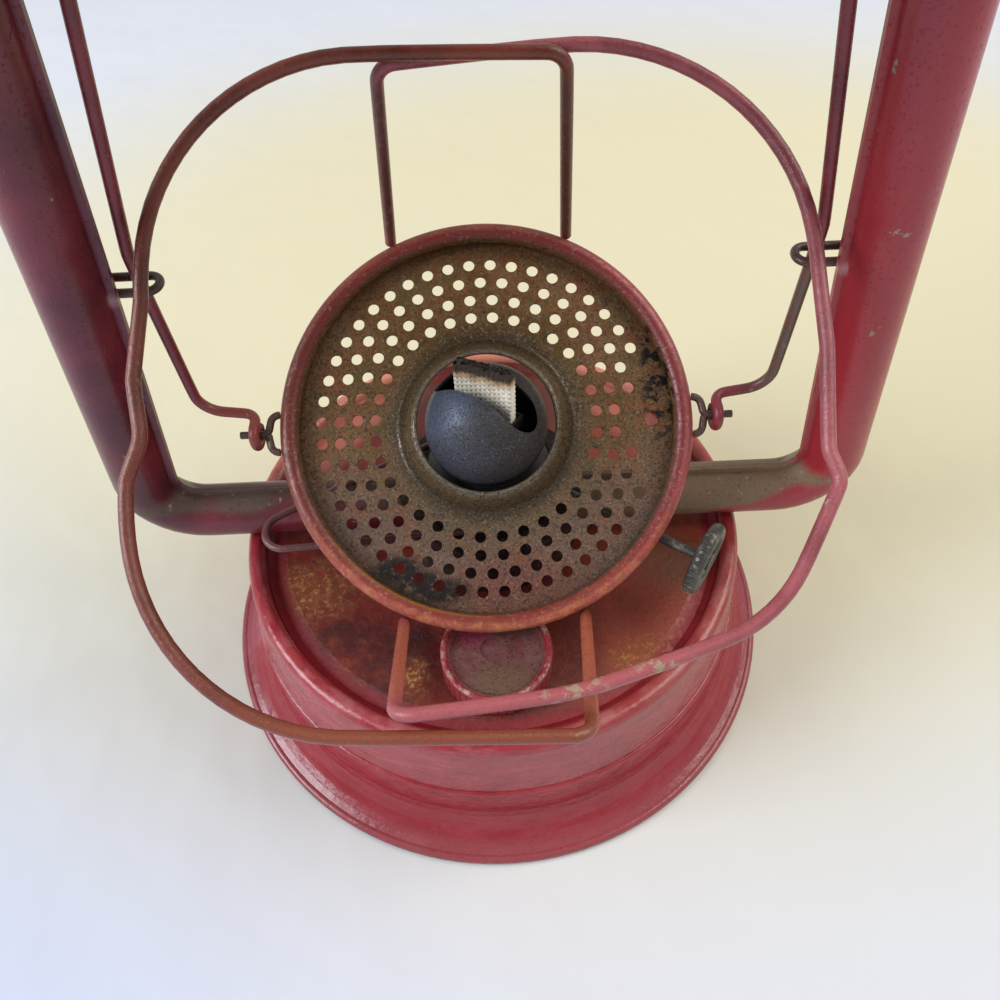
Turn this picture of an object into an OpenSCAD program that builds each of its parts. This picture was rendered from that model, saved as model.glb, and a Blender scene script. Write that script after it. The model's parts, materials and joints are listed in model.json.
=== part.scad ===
// Hurricane lantern: a painted sheet-steel fount and tube frame, a perforated globe plate with a
// wire guard that hangs on lift rods and tilts forward, a flat-wick burner and a sprung hood.
// Millimetres, +Z up, origin on the table at the centre of the base, -Y to the front.

/* [Fount] */
// Radius of the base lip
base_r = 75; // [70:0.5:80]
// Outer radius of the crimped rim
rim_r = 62.3; // [60:0.1:64]
// Height of the crimped rim
rim_top = 43; // [38:0.5:50]
// Width of the crimped rim
rim_bead = 4.5; // [3.5:0.1:5.5]
// Thickness of the rolled base lip
lip_d = 2.6; // [2:0.1:4]
// Radius of the concave flare above the lip
flare_r = 12.5; // [9:0.5:13]
// Height of the swaged ridge on the wall
swage_z = 22; // [20:0.5:30]
// How far the fount top lies under the rim
top_drop = 2.4; // [1.6:0.1:3]
// Sheet thickness
sheet = 0.6; // [0.4:0.05:0.8]

/* [Filler] */
// Distance of the filler from the centre line
filler_y = 41; // [39:0.5:42]
// Radius of the filler cap
cap_r = 12.5; // [11.5:0.1:13]
// Height of the filler cap
cap_h = 6.8; // [5.5:0.1:7]
// Depth of the dish in the cap
cap_dish = 1.5; // [1:0.1:2]
// Grip notches round the cap
cap_notches = 44; // [30:2:48]

/* [Burner] */
// Radius of the air chamber
chamber_r = 22; // [20.5:0.1:22.5]
// Radius of the burner body
burner_r = 15; // [14:0.1:15.5]
// Radius of the gallery flange
gallery_r = 17.5; // [16.8:0.1:18]
// Radius of the burner cone
cone_r = 13.7; // [13:0.1:13.8]
// Height of the cone's centre
cone_z = 76.7; // [75.5:0.1:77.5]
// Wall of the burner cone
cone_wall = 0.7; // [0.4:0.1:1]
// Width of the slot in the cone
slot_w = 8.6; // [8:0.1:9]
// Length of the slot in the cone
slot_l = 25; // [24:0.1:25.4]
// Angle of the wick about the centre line
wick_angle = -35; // [-40:1:-30]
// Width of the wick
wick_w = 15; // [13:0.1:15]
// Thickness of the wick
wick_t = 2.6; // [2:0.1:2.8]
// Height of the wick's tip
wick_tip = 96.5; // [95:0.5:98]
// How far the wick's tip is burnt down at its left edge
wick_slant = 3.5; // [0:0.5:4]
// Diameter of the wick shaft
shaft_d = 2.2; // [2:0.1:2.3]
// Distance of the wick shaft from the wick's middle
shaft_off = 4.9; // [4.6:0.1:5.2]
// Distance of the knob's face from the centre line
knob_x = 55.2; // [54:0.1:57]
// Diameter of the wick knob
knob_d = 17; // [15:0.5:17.5]
// Thickness of the wick knob
knob_t = 3.2; // [2.6:0.1:3.6]
// Notches round the wick knob
knob_notches = 32; // [20:1:36]
// Angle of the finger loop about the centre line
loop_angle = 196.5; // [190:0.5:205]
// Distance of the finger loop's tip from the centre line
loop_tip = 55; // [50:0.5:58]
// Diameter of the finger loop's wire
loop_d = 1.85; // [1.5:0.05:2]

/* [Globe plate] */
// Height of the plate's tilt axis
plate_z = 76.7; // [76.6:0.1:78]
// Forward tilt of the plate at rest
plate_tilt = 32.5; // [28:0.5:33]
// Outer radius of the plate
plate_r = 46; // [44:0.1:46.2]
// Radius of the rolled edge's section
bead_r = 2.1; // [1.6:0.1:2.3]
// Depth of the plate's floor under its edge
floor_drop = 2; // [1.6:0.1:2.1]
// Radius of the hole for the burner cone
hole_r = 15.25; // [15:0.05:15.6]
// Radius of the foot of the collar
collar_r = 20.4; // [19.8:0.1:21.5]
// Height of the collar
collar_h = 5; // [4:0.1:5.5]
// Diameter of the air holes
air_d = 2.55; // [2:0.05:2.8]
// Radius of the innermost ring of air holes
air_r = 25.1; // [24.8:0.1:25.5]
// Distance between the rings of air holes
air_step = 4.07; // [3.6:0.01:4.2]
// Half angle of the bare patch beside the right ear
patch_angle = 15; // [8:1:20]

/* [Guard] */
// Diameter of the guard wires
guard_d = 2.75; // [2.2:0.05:3]
// Height of the guard ring over the plate
guard_h = 42; // [38:0.5:44]
// Half the distance between the legs
leg_x = 20; // [16:0.5:24]

/* [Lift] */
// Diameter of the lift rods
rod_d = 2.5; // [2:0.1:2.6]
// Distance of the lift rods from the centre line
rod_x = 63; // [62.5:0.1:63.5]
// Distance of the lift rods behind the centre line
rod_y = 4; // [3.5:0.1:4.5]
// Height of the kink in the lift rods
rod_kink = 122; // [120:1:126]
// Height of the yoke's crossbar
cross_z = 169; // [166:0.5:172]
// Half the width of the yoke's crossbar
cross_x = 53.6; // [52:0.1:54]
// Diameter of the ear and guide wires
ear_d = 1.8; // [1.5:0.05:2]
// Height of the guides on the tubes
guide_z = 115.5; // [108:0.5:115.5]
// Length of the lever's inner arm
lever_in = 14.6; // [13.5:0.1:15.5]
// Length of the lever's outer arm
lever_out = 21; // [18:0.5:23]
// Slope of the lever at rest
lever_angle = 24.5; // [20:0.5:26]
// Thickness of the lever
lever_t = 1.8; // [1.4:0.1:2.2]

/* [Frame] */
// Diameter of the side tubes
tube_d = 13; // [11.5:0.1:13.5]
// Distance of the tubes' lower corners from the centre line
tube_foot_x = 84; // [82.5:0.5:88]
// Distance of the tubes' upper corners from the centre line
tube_top_x = 61; // [60.5:0.1:63]
// Centre-line radius of the lower bends
foot_bend = 12; // [10:0.5:14]
// Centre-line radius of the upper bends
top_bend = 16; // [13:0.5:17]
// Height of the seam ridge on the tubes
ridge_h = 1.5; // [1:0.1:1.8]
// Thickness of the seam ridge on the tubes
ridge_t = 1.2; // [0.8:0.1:1.4]

/* [Crown and hood] */
// Height of the crown's middle
crown_z = 206.5; // [205:0.5:210]
// Radius of the crown
crown_r = 42; // [40:0.5:43]
// Height of the crown
crown_h = 20; // [18:0.5:24]
// Radius of the chimney
chimney_r = 24; // [22:0.5:25]
// Height of the chimney
chimney_h = 52; // [50:0.5:58]
// Distance of the globe cap under the crown
cap_gap = 13; // [12.8:0.1:13.5]
// Radius of the globe cap
globe_cap_r = 36; // [34:0.5:37]
// Radius of the hood
hood_r = 34; // [31:0.5:38]
// Height of the hood
hood_h = 13; // [11:0.5:16]
// Turns in the hold-down spring
spring_turns = 4; // [3:1:5]
// Diameter of the spring wire
spring_d = 1.2; // [1:0.1:1.4]
// Diameter of the vent holes
vent_d = 6; // [4:0.5:7]
// Number of vent holes
vents = 12; // [8:1:14]

/* [Bail] */
// Diameter of the bail wire
bail_d = 3.2; // [2.6:0.1:3.6]
// Height of the bail over its pivots
bail_h = 128; // [120:1:150]
// Distance of the bail's sides from the centre line
bail_x = 76; // [75.5:0.5:80]
// Thickness of the bail lugs
lug_t = 1.4; // [1:0.1:1.6]

/* [Fits] */
// Gap between pieces that are soldered or crimped together
fit = 0.1; // [0.05:0.05:0.15]
// Gap between pieces that move past each other
run = 0.3; // [0.3:0.05:0.4]
// Radial gap round a turning pin
pin_gap = 0.1; // [0.05:0.01:0.15]

/* [Hidden] */
$fn = 64;
// Steps of a bend and sides of a bent wire
arc_step = 11;
wire_sides = 10;

red = "#8e2a2e";
dark_red = "#7a3f34";
tin = "#6e6352";
zinc = "#5a5f66";
slate = "#555c66";
cream = "#d8cdb2";
brass = "#9a7b3c";

// Fount
rim_z = rim_top - rim_bead / 2;
flare_end = 250;
flare_z = lip_d - sheet / 2 - flare_r * sin(flare_end);
foot_r = base_r - lip_d / 2 - flare_r * (1 + cos(flare_end));
top_z = rim_top - top_drop;
groove = 1.6;
seat_r = rim_r - rim_bead - fit;
bottom_z = flare_z + 1;
bottom_flange = 3;
swage_d = 1.8;

// Filler
neck_r = cap_r - 2.6;
neck_flange = 1.8;
cap_z = top_z + 1.2;
cap_top = cap_z + cap_h;
cap_floor = cap_top - cap_dish;
cap_floor_t = 1;
cap_bead = 1.4;
cap_notch = 0.9;
dimple = 0.4;
dimple_r = 2.6;
dimple_angle = -35;
neck_drop = 4;
neck_wall = 1;
gasket_t = 0.8;
neck_top = cap_floor - cap_floor_t - gasket_t - fit - run;

// Side tubes
arm_z = rim_top + run + tube_d / 2;
tube_end = 1.5;
lean = (tube_foot_x - tube_top_x) / (crown_z - arm_z);
function tube_x(z) = tube_foot_x - lean * (z - arm_z);
tube_route = [
  [chamber_r - tube_end, 0, arm_z, 0],
  [tube_foot_x, 0, arm_z, foot_bend],
  [tube_top_x, 0, crown_z, top_bend],
  [crown_r - tube_end, 0, crown_z, 0],
];

tube_bore = [for (p = tube_route) p[3] > 0 ? p : [p[0] - 1, p[1], p[2], 0]];

// Burner
chamber_top = arm_z + tube_d / 2 + sheet;
gallery_t = 0.8;
gallery_z = chamber_top + fit;
shaft_z = gallery_z + gallery_t + run + shaft_d / 2;
body_top = shaft_z + shaft_d / 2 + 2.4;
collar_in = 11.5;
collar_z = top_z + fit;
collar_rise = 3;
wick_tube_w = wick_w + 2 * run;
wick_tube_t = wick_t + 2 * run;
wick_tube_top = cone_z + 6;
cone_neck = 10.6;
waist_z = cone_z - sqrt(cone_r * cone_r - cone_neck * cone_neck);
wick_foot = bottom_z + 11;
wheel_r = shaft_off - wick_t / 2 - run;
wheel_t = 1.2;
wheel_x = [-6, -2, 2, 6];
knob_web = 0.8;
knob_hub = 4.4;
knob_hole = 2.8;
knurl_d = 0.9;
shaft_in = burner_r - 2.6;
loop_z = gallery_z + gallery_t + fit + loop_d / 2;
loop_hug = burner_r + fit + loop_d / 2;
loop_bend = 5;

// Globe plate and guard
bead_ring = plate_r - bead_r;
lip_r = 0.5;
rings = [32, 36, 42, 48];
big_hole = 3;
foot_ring = plate_r + guard_d / 2 + fit;
leg_y = sqrt(foot_ring * foot_ring - leg_x * leg_x);
wire_lap = guard_d / 2 + fit;
ear_gap = 4.2;
ear_eye = plate_r + 5.2;
ear_tip = ear_eye + 3.6;
ear_neck = 3.4;
ear_fork = 2.6;

// Lift
eye_ring = ear_d / 2 + run + rod_d / 2;
rod_rise = 4.5;
rod_bend = 6;
cross_bend = 5;
guide_gap = rod_d / 2 + run + ear_d / 2;
guide_in = rod_x - rod_d / 2 - run - ear_d / 2 - 1;
lever_y = rod_y + 7.5;
lever_x = sqrt(cross_x * cross_x - pow(lever_y - rod_y, 2)) + lever_in * cos(lever_angle);
lever_w = 6;
tip_w = 3;
lever_taper = atan((lever_w - tip_w) / 2 / lever_in);
tip_drop = (rod_d / 2 + 2 * run + tip_w / 2) / cos(lever_angle + lever_taper);
lever_z = cross_z - tip_drop + lever_in * sin(lever_angle);
pivot_d = 3;
thumb_l = 8;
thumb_w = 9;
thumb_t = 1.4;
pin_head = 1.2;

// Crown and hood
crown_bottom = crown_z - crown_h / 2;
crown_top = crown_z + crown_h / 2;
chimney_z = crown_bottom - cap_gap;
chimney_top = chimney_z + chimney_h;
stop_z = crown_bottom + sheet + run;
stop_r = chimney_r + 5;
spring_r = chimney_r + 3;
spring_z = stop_z + 1;
spring_h = crown_top - sheet - spring_z;
cap_drop = 5;
eave = 2;
vent_z = crown_top + vent_d / 2 + 4;
ring_r = 9;
ring_d = 2.4;
hood_ball = (hood_r * hood_r + hood_h * hood_h) / (2 * hood_h);
hood_z = chimney_top + fit + sheet + hood_ball - hood_h - sqrt(pow(hood_ball, 2) - pow(chimney_r, 2));
hood_top = hood_z + hood_h;
ring_z = hood_top + fit - hood_ball + sqrt(pow(hood_ball, 2) - pow(ring_r - ring_d / 2, 2));

// Bail
bail_z = crown_z;
bail_bend = 3;
lug_x = bail_x - bail_bend - run - lug_t;
lug_w = 9;
bail_in = 4;

// Bent wires and tubes: a path is a list of corners [x, y, z, bend radius]
function pt(p) = [p[0], p[1], p[2]];
function unit(v) = v / norm(v);
function square_to(x, d) = unit(x - d * (x * d));
function turn(a, b, c) = 180 - acos(unit(a - b) * unit(c - b));
function bend(a, b, c, r) =
  let (t = turn(a, b, c), u = unit(a - b), w = unit(c - b))
  let (mid = b + unit(u + w) * r / cos(t / 2), x = unit(b + u * r * tan(t / 2) - mid))
  let (y = square_to(unit(b + w * r * tan(t / 2) - mid), x), n = max(2, ceil(t / arc_step)))
  [for (k = [0:n]) mid + r * (cos(t * k / n) * x + sin(t * k / n) * y)];
function bent(path) = [
  pt(path[0]),
  for (i = [1:len(path) - 2]) each bend(pt(path[i - 1]), pt(path[i]), pt(path[i + 1]), path[i][3]),
  pt(path[len(path) - 1]),
];
function heading(p, i) = unit(
  (i > 0 ? unit(p[i] - p[i - 1]) : [0, 0, 0])
  + (i < len(p) - 1 ? unit(p[i + 1] - p[i]) : [0, 0, 0])
);
function sides(p, x0) = [
  for (i = 0, x = square_to(x0, heading(p, 0)); i < len(p);
    i = i + 1, x = i < len(p) ? square_to(x, heading(p, i)) : x) x
];
function round_section(d, n = wire_sides) = [
  for (k = [0:n - 1]) d / 2 * [cos(360 * k / n), sin(360 * k / n)],
];
function mirrored(path) = [for (p = path) [-p[0], p[1], p[2], p[3]]];

// Solid with a given section along a line of points; x0 is the section's first axis at the start
module swept(p, section, x0) {
  n = len(section);
  last = len(p) - 1;
  x = sides(p, x0);
  loops = [
    for (i = [0:last]) let (y = cross(heading(p, i), x[i]))
      for (s = section) p[i] + s[0] * x[i] + s[1] * y,
  ];
  walls = [
    for (i = [0:last - 1], k = [0:n - 1])
      [i * n + k, i * n + n + k, i * n + n + (k + 1) % n, i * n + (k + 1) % n],
  ];
  caps = [
    for (k = [0:n - 1]) each [
      [len(loops), k, (k + 1) % n],
      [len(loops) + 1, last * n + (k + 1) % n, last * n + k],
    ],
  ];
  polyhedron(points = concat(loops, [p[0], p[last]]), faces = concat(walls, caps), convexity = 8);
}

module wire(path, d, x0 = [0, 0, 1]) swept(bent(path), round_section(d), x0);

module on_plate() translate([0, 0, plate_z]) rotate([plate_tilt, 0, 0]) children();

module at_wick() rotate([0, 0, wick_angle]) children();

module at_shaft(x) at_wick() translate([x, shaft_off, shaft_z]) rotate([0, 90, 0]) children();

module notched_disc(r, h, count, notch) difference() {
  cylinder(r = r, h = h);
  for (k = [0:count - 1])
    rotate([0, 0, 360 * k / count]) translate([r + notch * 0.3, 0, -1])
      cylinder(d = notch, h = h + 2, $fn = 16);
}

// Fount: one drawn wall with a crimped rim, a swaged ridge and a rolled lip
function flare(r) = [
  for (a = [180:10:flare_end]) [foot_r + flare_r + r * cos(a), flare_z + r * sin(a)],
];
function reversed(list) = [for (i = [len(list) - 1:-1:0]) list[i]];
function wall_r(z) = foot_r + (rim_r - foot_r) * (z - flare_z) / (rim_z - flare_z);

module hoop(r, z, d) rotate_extrude() translate([r, z]) circle(d = d);

module fount_body() color(red) {
  rotate_extrude() polygon(concat(
    [[rim_r - fit, rim_z]], flare(flare_r), reversed(flare(flare_r + sheet)), [[rim_r - fit - sheet, rim_z]]
  ));
  hoop(rim_r - rim_bead / 2, rim_z, rim_bead);
  hoop(wall_r(swage_z) - sheet / 2, swage_z, swage_d);
  rotate_extrude() {
    translate([base_r - lip_d / 2, lip_d / 2]) circle(d = lip_d);
    translate([base_r - lip_d, 0]) square([lip_d / 2, lip_d / 2]);
  }
}

function top_line(drop) = [
  [seat_r, top_z - drop], [seat_r - groove, top_z - groove - drop],
  [seat_r - 3 * groove, top_z - groove / 2 - drop], [chamber_r + 4, top_z - drop], [collar_in, top_z - drop],
];

module fount_top() color(dark_red) difference() {
  rotate_extrude() polygon(concat(top_line(0), reversed(top_line(sheet))));
  translate([0, -filler_y, 0]) cylinder(r = neck_r + fit, h = rim_top + 1);
}

module fount_bottom() color(red) rotate_extrude() {
  edge = wall_r(bottom_z + bottom_flange) - sheet - 2 * fit;
  translate([0, bottom_z]) square([edge, sheet]);
  translate([edge - sheet, bottom_z]) square([sheet, bottom_flange]);
}

// Filler
module at_filler(z) translate([0, -filler_y, z]) children();

module filler_neck() color(brass) at_filler(0) difference() {
  union() {
    translate([0, 0, top_z - neck_drop]) cylinder(r = neck_r, h = neck_top - top_z + neck_drop);
    translate([0, 0, top_z + fit]) cylinder(r = neck_r + neck_flange, h = sheet);
  }
  cylinder(r = neck_r - neck_wall, h = 2 * neck_top);
}

module filler_cap() color(red) at_filler(cap_z) difference() {
  union() {
    notched_disc(cap_r, cap_h - cap_bead / 2, cap_notches, cap_notch);
    hoop(cap_r - cap_bead / 2, cap_h - cap_bead / 2, cap_bead);
  }
  translate([0, 0, cap_h - cap_dish])
    cylinder(r1 = cap_r - cap_bead - 1, r2 = cap_r - cap_bead, h = cap_dish + fit);
  translate([0, 0, cap_h - cap_dish - dimple]) rotate([0, 0, dimple_angle]) linear_extrude(cap_dish) {
    translate([-dimple_r / 2, 0]) circle(r = dimple_r);
    translate([dimple_r / 2, 0]) circle(r = dimple_r);
  }
  translate([0, 0, -1]) cylinder(r = neck_r + run, h = cap_h - cap_dish - cap_floor_t + 1);
}

module cap_gasket() color(dark_red) at_filler(neck_top + run) difference() {
  cylinder(r = neck_r, h = gasket_t);
  translate([0, 0, -1]) cylinder(r = neck_r - 2.5, h = gasket_t + 2);
}

// Burner
module burner_collar() color(brass) translate([0, 0, collar_z]) difference() {
  cylinder(r = burner_r, h = collar_rise);
  translate([0, 0, -1]) cylinder(r = collar_in, h = collar_rise + 2);
}

// Clearance for a tube's end, with its seam ridge above or below
module arm_bores(r, z, ridge) for (side = [0, 1]) mirror([side, 0, 0]) translate([r - 8, 0, z]) {
  rotate([0, 90, 0]) cylinder(d = tube_d + 2 * fit, h = 16);
  translate([0, -ridge_t / 2 - fit, 0]) mirror([0, 0, ridge < 0 ? 1 : 0])
    cube([16, ridge_t + 2 * fit, tube_d / 2 + ridge_h + fit]);
}

module air_chamber() color(red) difference() {
  translate([0, 0, top_z + fit]) cylinder(r = chamber_r, h = chamber_top - top_z - fit);
  translate([0, 0, top_z - 1]) cylinder(r = chamber_r - sheet, h = chamber_top - top_z + 1 - sheet);
  cylinder(r = burner_r + fit, h = chamber_top + 1);
  arm_bores(chamber_r, arm_z, 1);
}

module burner_body() color(tin) difference() {
  union() {
    translate([0, 0, collar_z + collar_rise + fit])
      cylinder(r = burner_r, h = body_top - collar_z - collar_rise - fit);
    translate([0, 0, gallery_z]) cylinder(r = gallery_r, h = gallery_t);
  }
  translate([0, 0, collar_z + collar_rise + fit + sheet]) cylinder(r = burner_r - 1, h = body_top);
  at_wick() flat_tube(wick_tube_w + 2 * sheet + 2 * fit, wick_tube_t + 2 * sheet + 2 * fit, body_top);
  for (k = [0:11]) rotate([0, 0, wick_angle + 30 * k + 15]) translate([burner_r - 3.8, 0, 0])
    cylinder(d = 2.4, h = body_top, $fn = 24);
  at_shaft(0) cylinder(d = shaft_d + 2 * pin_gap, h = 40);
  at_shaft(-burner_r - 1) cylinder(d = shaft_d + 2 * pin_gap, h = 10);
}

module burner_cone() color(slate) difference() {
  union() {
    translate([0, 0, cone_z]) sphere(r = cone_r);
    translate([0, 0, body_top + fit]) cylinder(r1 = burner_r, r2 = cone_neck, h = waist_z - body_top - fit);
    translate([0, 0, body_top + fit]) cylinder(r = burner_r, h = sheet);
  }
  translate([0, 0, cone_z]) sphere(r = cone_r - cone_wall);
  translate([0, 0, body_top]) cylinder(
    r1 = burner_r - 2 * cone_wall, r2 = cone_neck - cone_wall, h = waist_z - body_top);
  translate([0, 0, waist_z - cone_r]) cylinder(r = cone_neck - cone_wall, h = cone_r + cone_wall);
  at_wick() cone_slot();
}

// Slot with round ends across the top of the dome
module cone_slot() translate([0, 0, cone_z]) {
  for (side = [-1, 1]) translate([side * (slot_l - slot_w) / 2, 0, 0]) cylinder(d = slot_w, h = 2 * cone_r);
  translate([-(slot_l - slot_w) / 2, -slot_w / 2, 0]) cube([slot_l - slot_w, slot_w, 2 * cone_r]);
}

module flat_tube(w, t, h) translate([-w / 2, -t / 2, 0]) cube([w, t, h]);

module wick_tube() color(brass) at_wick() difference() {
  translate([0, 0, wick_foot + 8]) {
    flat_tube(wick_tube_w + 2 * sheet, wick_tube_t + 2 * sheet, wick_tube_top - wick_foot - 8);
  }
  translate([0, 0, wick_foot]) flat_tube(wick_tube_w, wick_tube_t, wick_tip);
  for (x = wheel_x) translate([x, shaft_off, shaft_z]) rotate([0, 90, 0])
    cylinder(r = wheel_r + run, h = wheel_t + 2 * run, center = true);
}

module wick() color(cream) at_wick() translate([0, wick_t / 2, 0]) rotate([90, 0, 0]) linear_extrude(wick_t)
  polygon([
    [-wick_w / 2, wick_foot], [wick_w / 2, wick_foot], [wick_w / 2, wick_tip],
    [-wick_w / 2, wick_tip - wick_slant],
  ]);

module wick_shaft() color(zinc) at_shaft(-shaft_in)
  cylinder(d = shaft_d, h = shaft_in + knob_x - knob_t - fit);

module spur_wheels() color(brass) for (x = wheel_x) at_shaft(x - wheel_t / 2) difference() {
  notched_disc(wheel_r, wheel_t, 12, 1);
  translate([0, 0, -1]) cylinder(d = shaft_d + 2 * fit, h = wheel_t + 2);
}

// Knob: a rounded, knurled rim on a thin web with four holes
module wick_knob() color(zinc) at_shaft(knob_x - knob_t) difference() {
  union() {
    hoop(knob_d / 2 - knob_t / 2, knob_t / 2, knob_t);
    translate([0, 0, knob_t / 2 - knob_web / 2]) cylinder(d = knob_d - knob_t, h = knob_web);
    cylinder(d = knob_hub, h = knob_t);
  }
  for (k = [0:knob_notches - 1]) rotate([0, 0, 360 * k / knob_notches]) translate([knob_d / 2, 0, -1])
    cylinder(d = knurl_d, h = knob_t + 2, $fn = 16);
  for (k = [0:3]) rotate([0, 0, 90 * k + 45]) translate([knob_hub / 2 + knob_hole / 2 + 0.3, 0, -1])
    cylinder(d = knob_hole, h = knob_t + 2);
}

module finger_loop() color(dark_red) rotate([0, 0, loop_angle]) {
  spread = asin((loop_hug - loop_bend) / (loop_tip - loop_d / 2 - loop_bend));
  apex = loop_hug / sin(spread);
  touch = loop_hug * [sin(spread), cos(spread)];
  wire([
    [touch[0], touch[1], loop_z, 0], [apex, 0, loop_z, loop_bend], [touch[0], -touch[1], loop_z, 0],
  ], loop_d);
}

// Globe plate, in its own tilted frame: a rolled rim, a flat floor and a collar that swells to the hole
function collar_line(s) = [
  collar_r - (collar_r - hole_r - lip_r) * s, collar_h * s * s * (3 - 2 * s) - floor_drop,
];

module plate_section() {
  steps = 8;
  top = [for (k = [0:steps]) collar_line(k / steps)];
  under = [for (k = [steps:-1:0]) top[k] - [0, sheet]];
  translate([bead_ring, 0]) circle(r = bead_r);
  polygon(concat([[bead_ring, -floor_drop]], top, under, [[bead_ring, -floor_drop - sheet]]));
  translate([bead_ring - sheet, -floor_drop - sheet]) square([sheet * 2, floor_drop]);
  translate([hole_r + lip_r, collar_h - floor_drop - sheet / 2]) circle(r = lip_r);
}

module air_holes() for (ring = [0:len(rings) - 1], k = [0:rings[ring] - 1]) {
  a = 360 * (k + 0.5) / rings[ring];
  bare = ring > 1 && min(a, 360 - a) < patch_angle * (ring - 1) / 2 + 4;
  if (!bare) rotate([0, 0, a]) translate([air_r + ring * air_step, 0, -floor_drop - 2])
    cylinder(d = air_d, h = 4, $fn = 20);
}

module globe_plate() color(tin) on_plate() difference() {
  rotate_extrude() plate_section();
  air_holes();
  translate([air_r + (len(rings) - 1) * air_step, 0, -floor_drop - 2]) cylinder(d = big_hole, h = 4);
}

module ear() {
  wire([
    [plate_r + fit, ear_gap, 0, 0], [ear_eye - ear_neck, ear_gap, 0, 2],
    [ear_eye - ear_fork, 0, 0, 1.4], [ear_tip, 0, 0, 0],
  ], ear_d);
  wire([
    [plate_r + fit, -ear_gap, 0, 0], [ear_eye - ear_neck, -ear_gap, 0, 2],
    [ear_eye - ear_fork, -ear_d / 6, 0, 0],
  ], ear_d);
}

module right_ear() color(dark_red) on_plate() ear();

module left_ear() color(dark_red) on_plate() mirror([1, 0, 0]) ear();

// Guard wires: each stands on two legs and bows round one side; they lap where they cross at the back
left_guard = [
  [leg_x, leg_y, -1, 0], [leg_x - 2.5, leg_y + 14.5, guard_h + wire_lap, 4],
  [-59, leg_y + 17.5, guard_h + wire_lap, 38], [-58, 17, guard_h, 10], [-59.6, 3, guard_h, 8],
  [-58.2, -7, guard_h, 8], [-61, -14, guard_h, 8], [-61, -leg_y - 14.5, guard_h, 38],
  [leg_x - 4, -leg_y - 17, guard_h - 1, 4], [leg_x, -leg_y, -1, 0],
];
right_guard = [
  [-leg_x, leg_y, -1, 0], [-leg_x + 3.5, leg_y + 15.5, guard_h - wire_lap, 4],
  [59, leg_y + 21, guard_h - wire_lap, 40], [58.9, 18, guard_h, 6], [59.4, 4, guard_h, 8],
  [58.3, -14.2, guard_h, 5], [60.2, -19.3, guard_h, 4], [48.3, -42.3, guard_h, 25],
  [14, -52.8, guard_h + 0.5, 60], [-leg_x + 3, -leg_y - 12.2, guard_h + 1, 4], [-leg_x, -leg_y, -1, 0],
];

module left_guard_wire() color(dark_red) on_plate() wire(left_guard, guard_d, [1, 0, 0]);

module right_guard_wire() color(red) on_plate() wire(right_guard, guard_d, [1, 0, 0]);

// Lift yoke: one wire from ear to ear, up both tubes and round the back
curl = eye_ring * 0.96;
yoke_side = [
  [ear_eye, eye_ring, plate_z, 0], [ear_eye, eye_ring, plate_z - eye_ring, curl],
  [ear_eye, -eye_ring, plate_z - eye_ring, curl], [ear_eye, -eye_ring, plate_z + eye_ring, curl],
  [ear_eye, rod_y, plate_z + eye_ring, rod_d], [rod_x, rod_y, plate_z + rod_rise, rod_bend],
  [rod_x, rod_y, rod_kink, 2 * rod_bend], [cross_x, rod_y, cross_z, cross_bend],
  [cross_x, rod_y + cross_x, cross_z, cross_x - cross_bend - 0.5],
];

module lift_yoke() color(red) wire(concat(yoke_side, reversed(mirrored(yoke_side))), rod_d, [1, 0, 0]);

// The straight, leaning stretch of the right tube
module tube_shaft(grow) translate([tube_foot_x, 0, arm_z]) rotate([0, -atan(lean), 0]) {
  cylinder(r = tube_d / 2 + grow, h = crown_z - arm_z);
  translate([-tube_d / 2 - ridge_h - grow, -ridge_t / 2 - grow, 0])
    cube([tube_d / 2, ridge_t + 2 * grow, crown_z - arm_z]);
}

module right_guide() color(dark_red) difference() {
  wire([
    [tube_x(guide_z), rod_y - guide_gap, guide_z, 0],
    [guide_in, rod_y - guide_gap, guide_z, guide_gap * 0.95],
    [guide_in, rod_y + guide_gap, guide_z, guide_gap * 0.95],
    [tube_x(guide_z), rod_y + guide_gap, guide_z, 0],
  ], ear_d);
  tube_shaft(fit);
}

module left_guide() mirror([1, 0, 0]) right_guide();

// Lift lever on the back of the right tube
module lever_outline() {
  difference() {
    union() {
      circle(d = lever_w);
      rotate([0, 0, lever_angle]) {
        polygon([[0, lever_w / 2], [-lever_in, tip_w / 2], [-lever_in, -tip_w / 2], [0, -lever_w / 2]]);
        translate([-lever_in, 0]) circle(d = tip_w);
        polygon([[0, lever_w / 2], [lever_out, tip_w / 2], [lever_out, -tip_w / 2], [0, -lever_w / 2]]);
        translate([lever_out, 0]) circle(d = tip_w);
      }
    }
    circle(d = pivot_d + 2 * pin_gap);
  }
}

module at_lever(y) translate([lever_x, y, lever_z]) rotate([90, 0, 0]) children();

module lift_lever() color(red) {
  at_lever(lever_y + lever_t / 2) linear_extrude(lever_t) lever_outline();
  at_lever(lever_y + lever_t / 2) rotate([0, 0, lever_angle])
    translate([lever_out - thumb_l, -thumb_t / 2, lever_t / 2 - thumb_w]) cube([thumb_l, thumb_t, thumb_w]);
}

module lever_bracket() color(red) difference() {
  at_lever(lever_y - lever_t / 2 - run) cylinder(d = lever_w, h = lever_y - lever_t / 2 - run);
  at_lever(lever_y) cylinder(d = pivot_d + 2 * fit, h = lever_y);
  tube_shaft(fit);
}

module lever_pin() color(zinc) difference() {
  union() {
    at_lever(lever_y + lever_t / 2 + run + pin_head) cylinder(d = pivot_d, h = lever_y);
    at_lever(lever_y + lever_t / 2 + run + pin_head) cylinder(d = pivot_d + 2 * pin_head, h = pin_head);
  }
  tube_shaft(fit);
}

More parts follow.
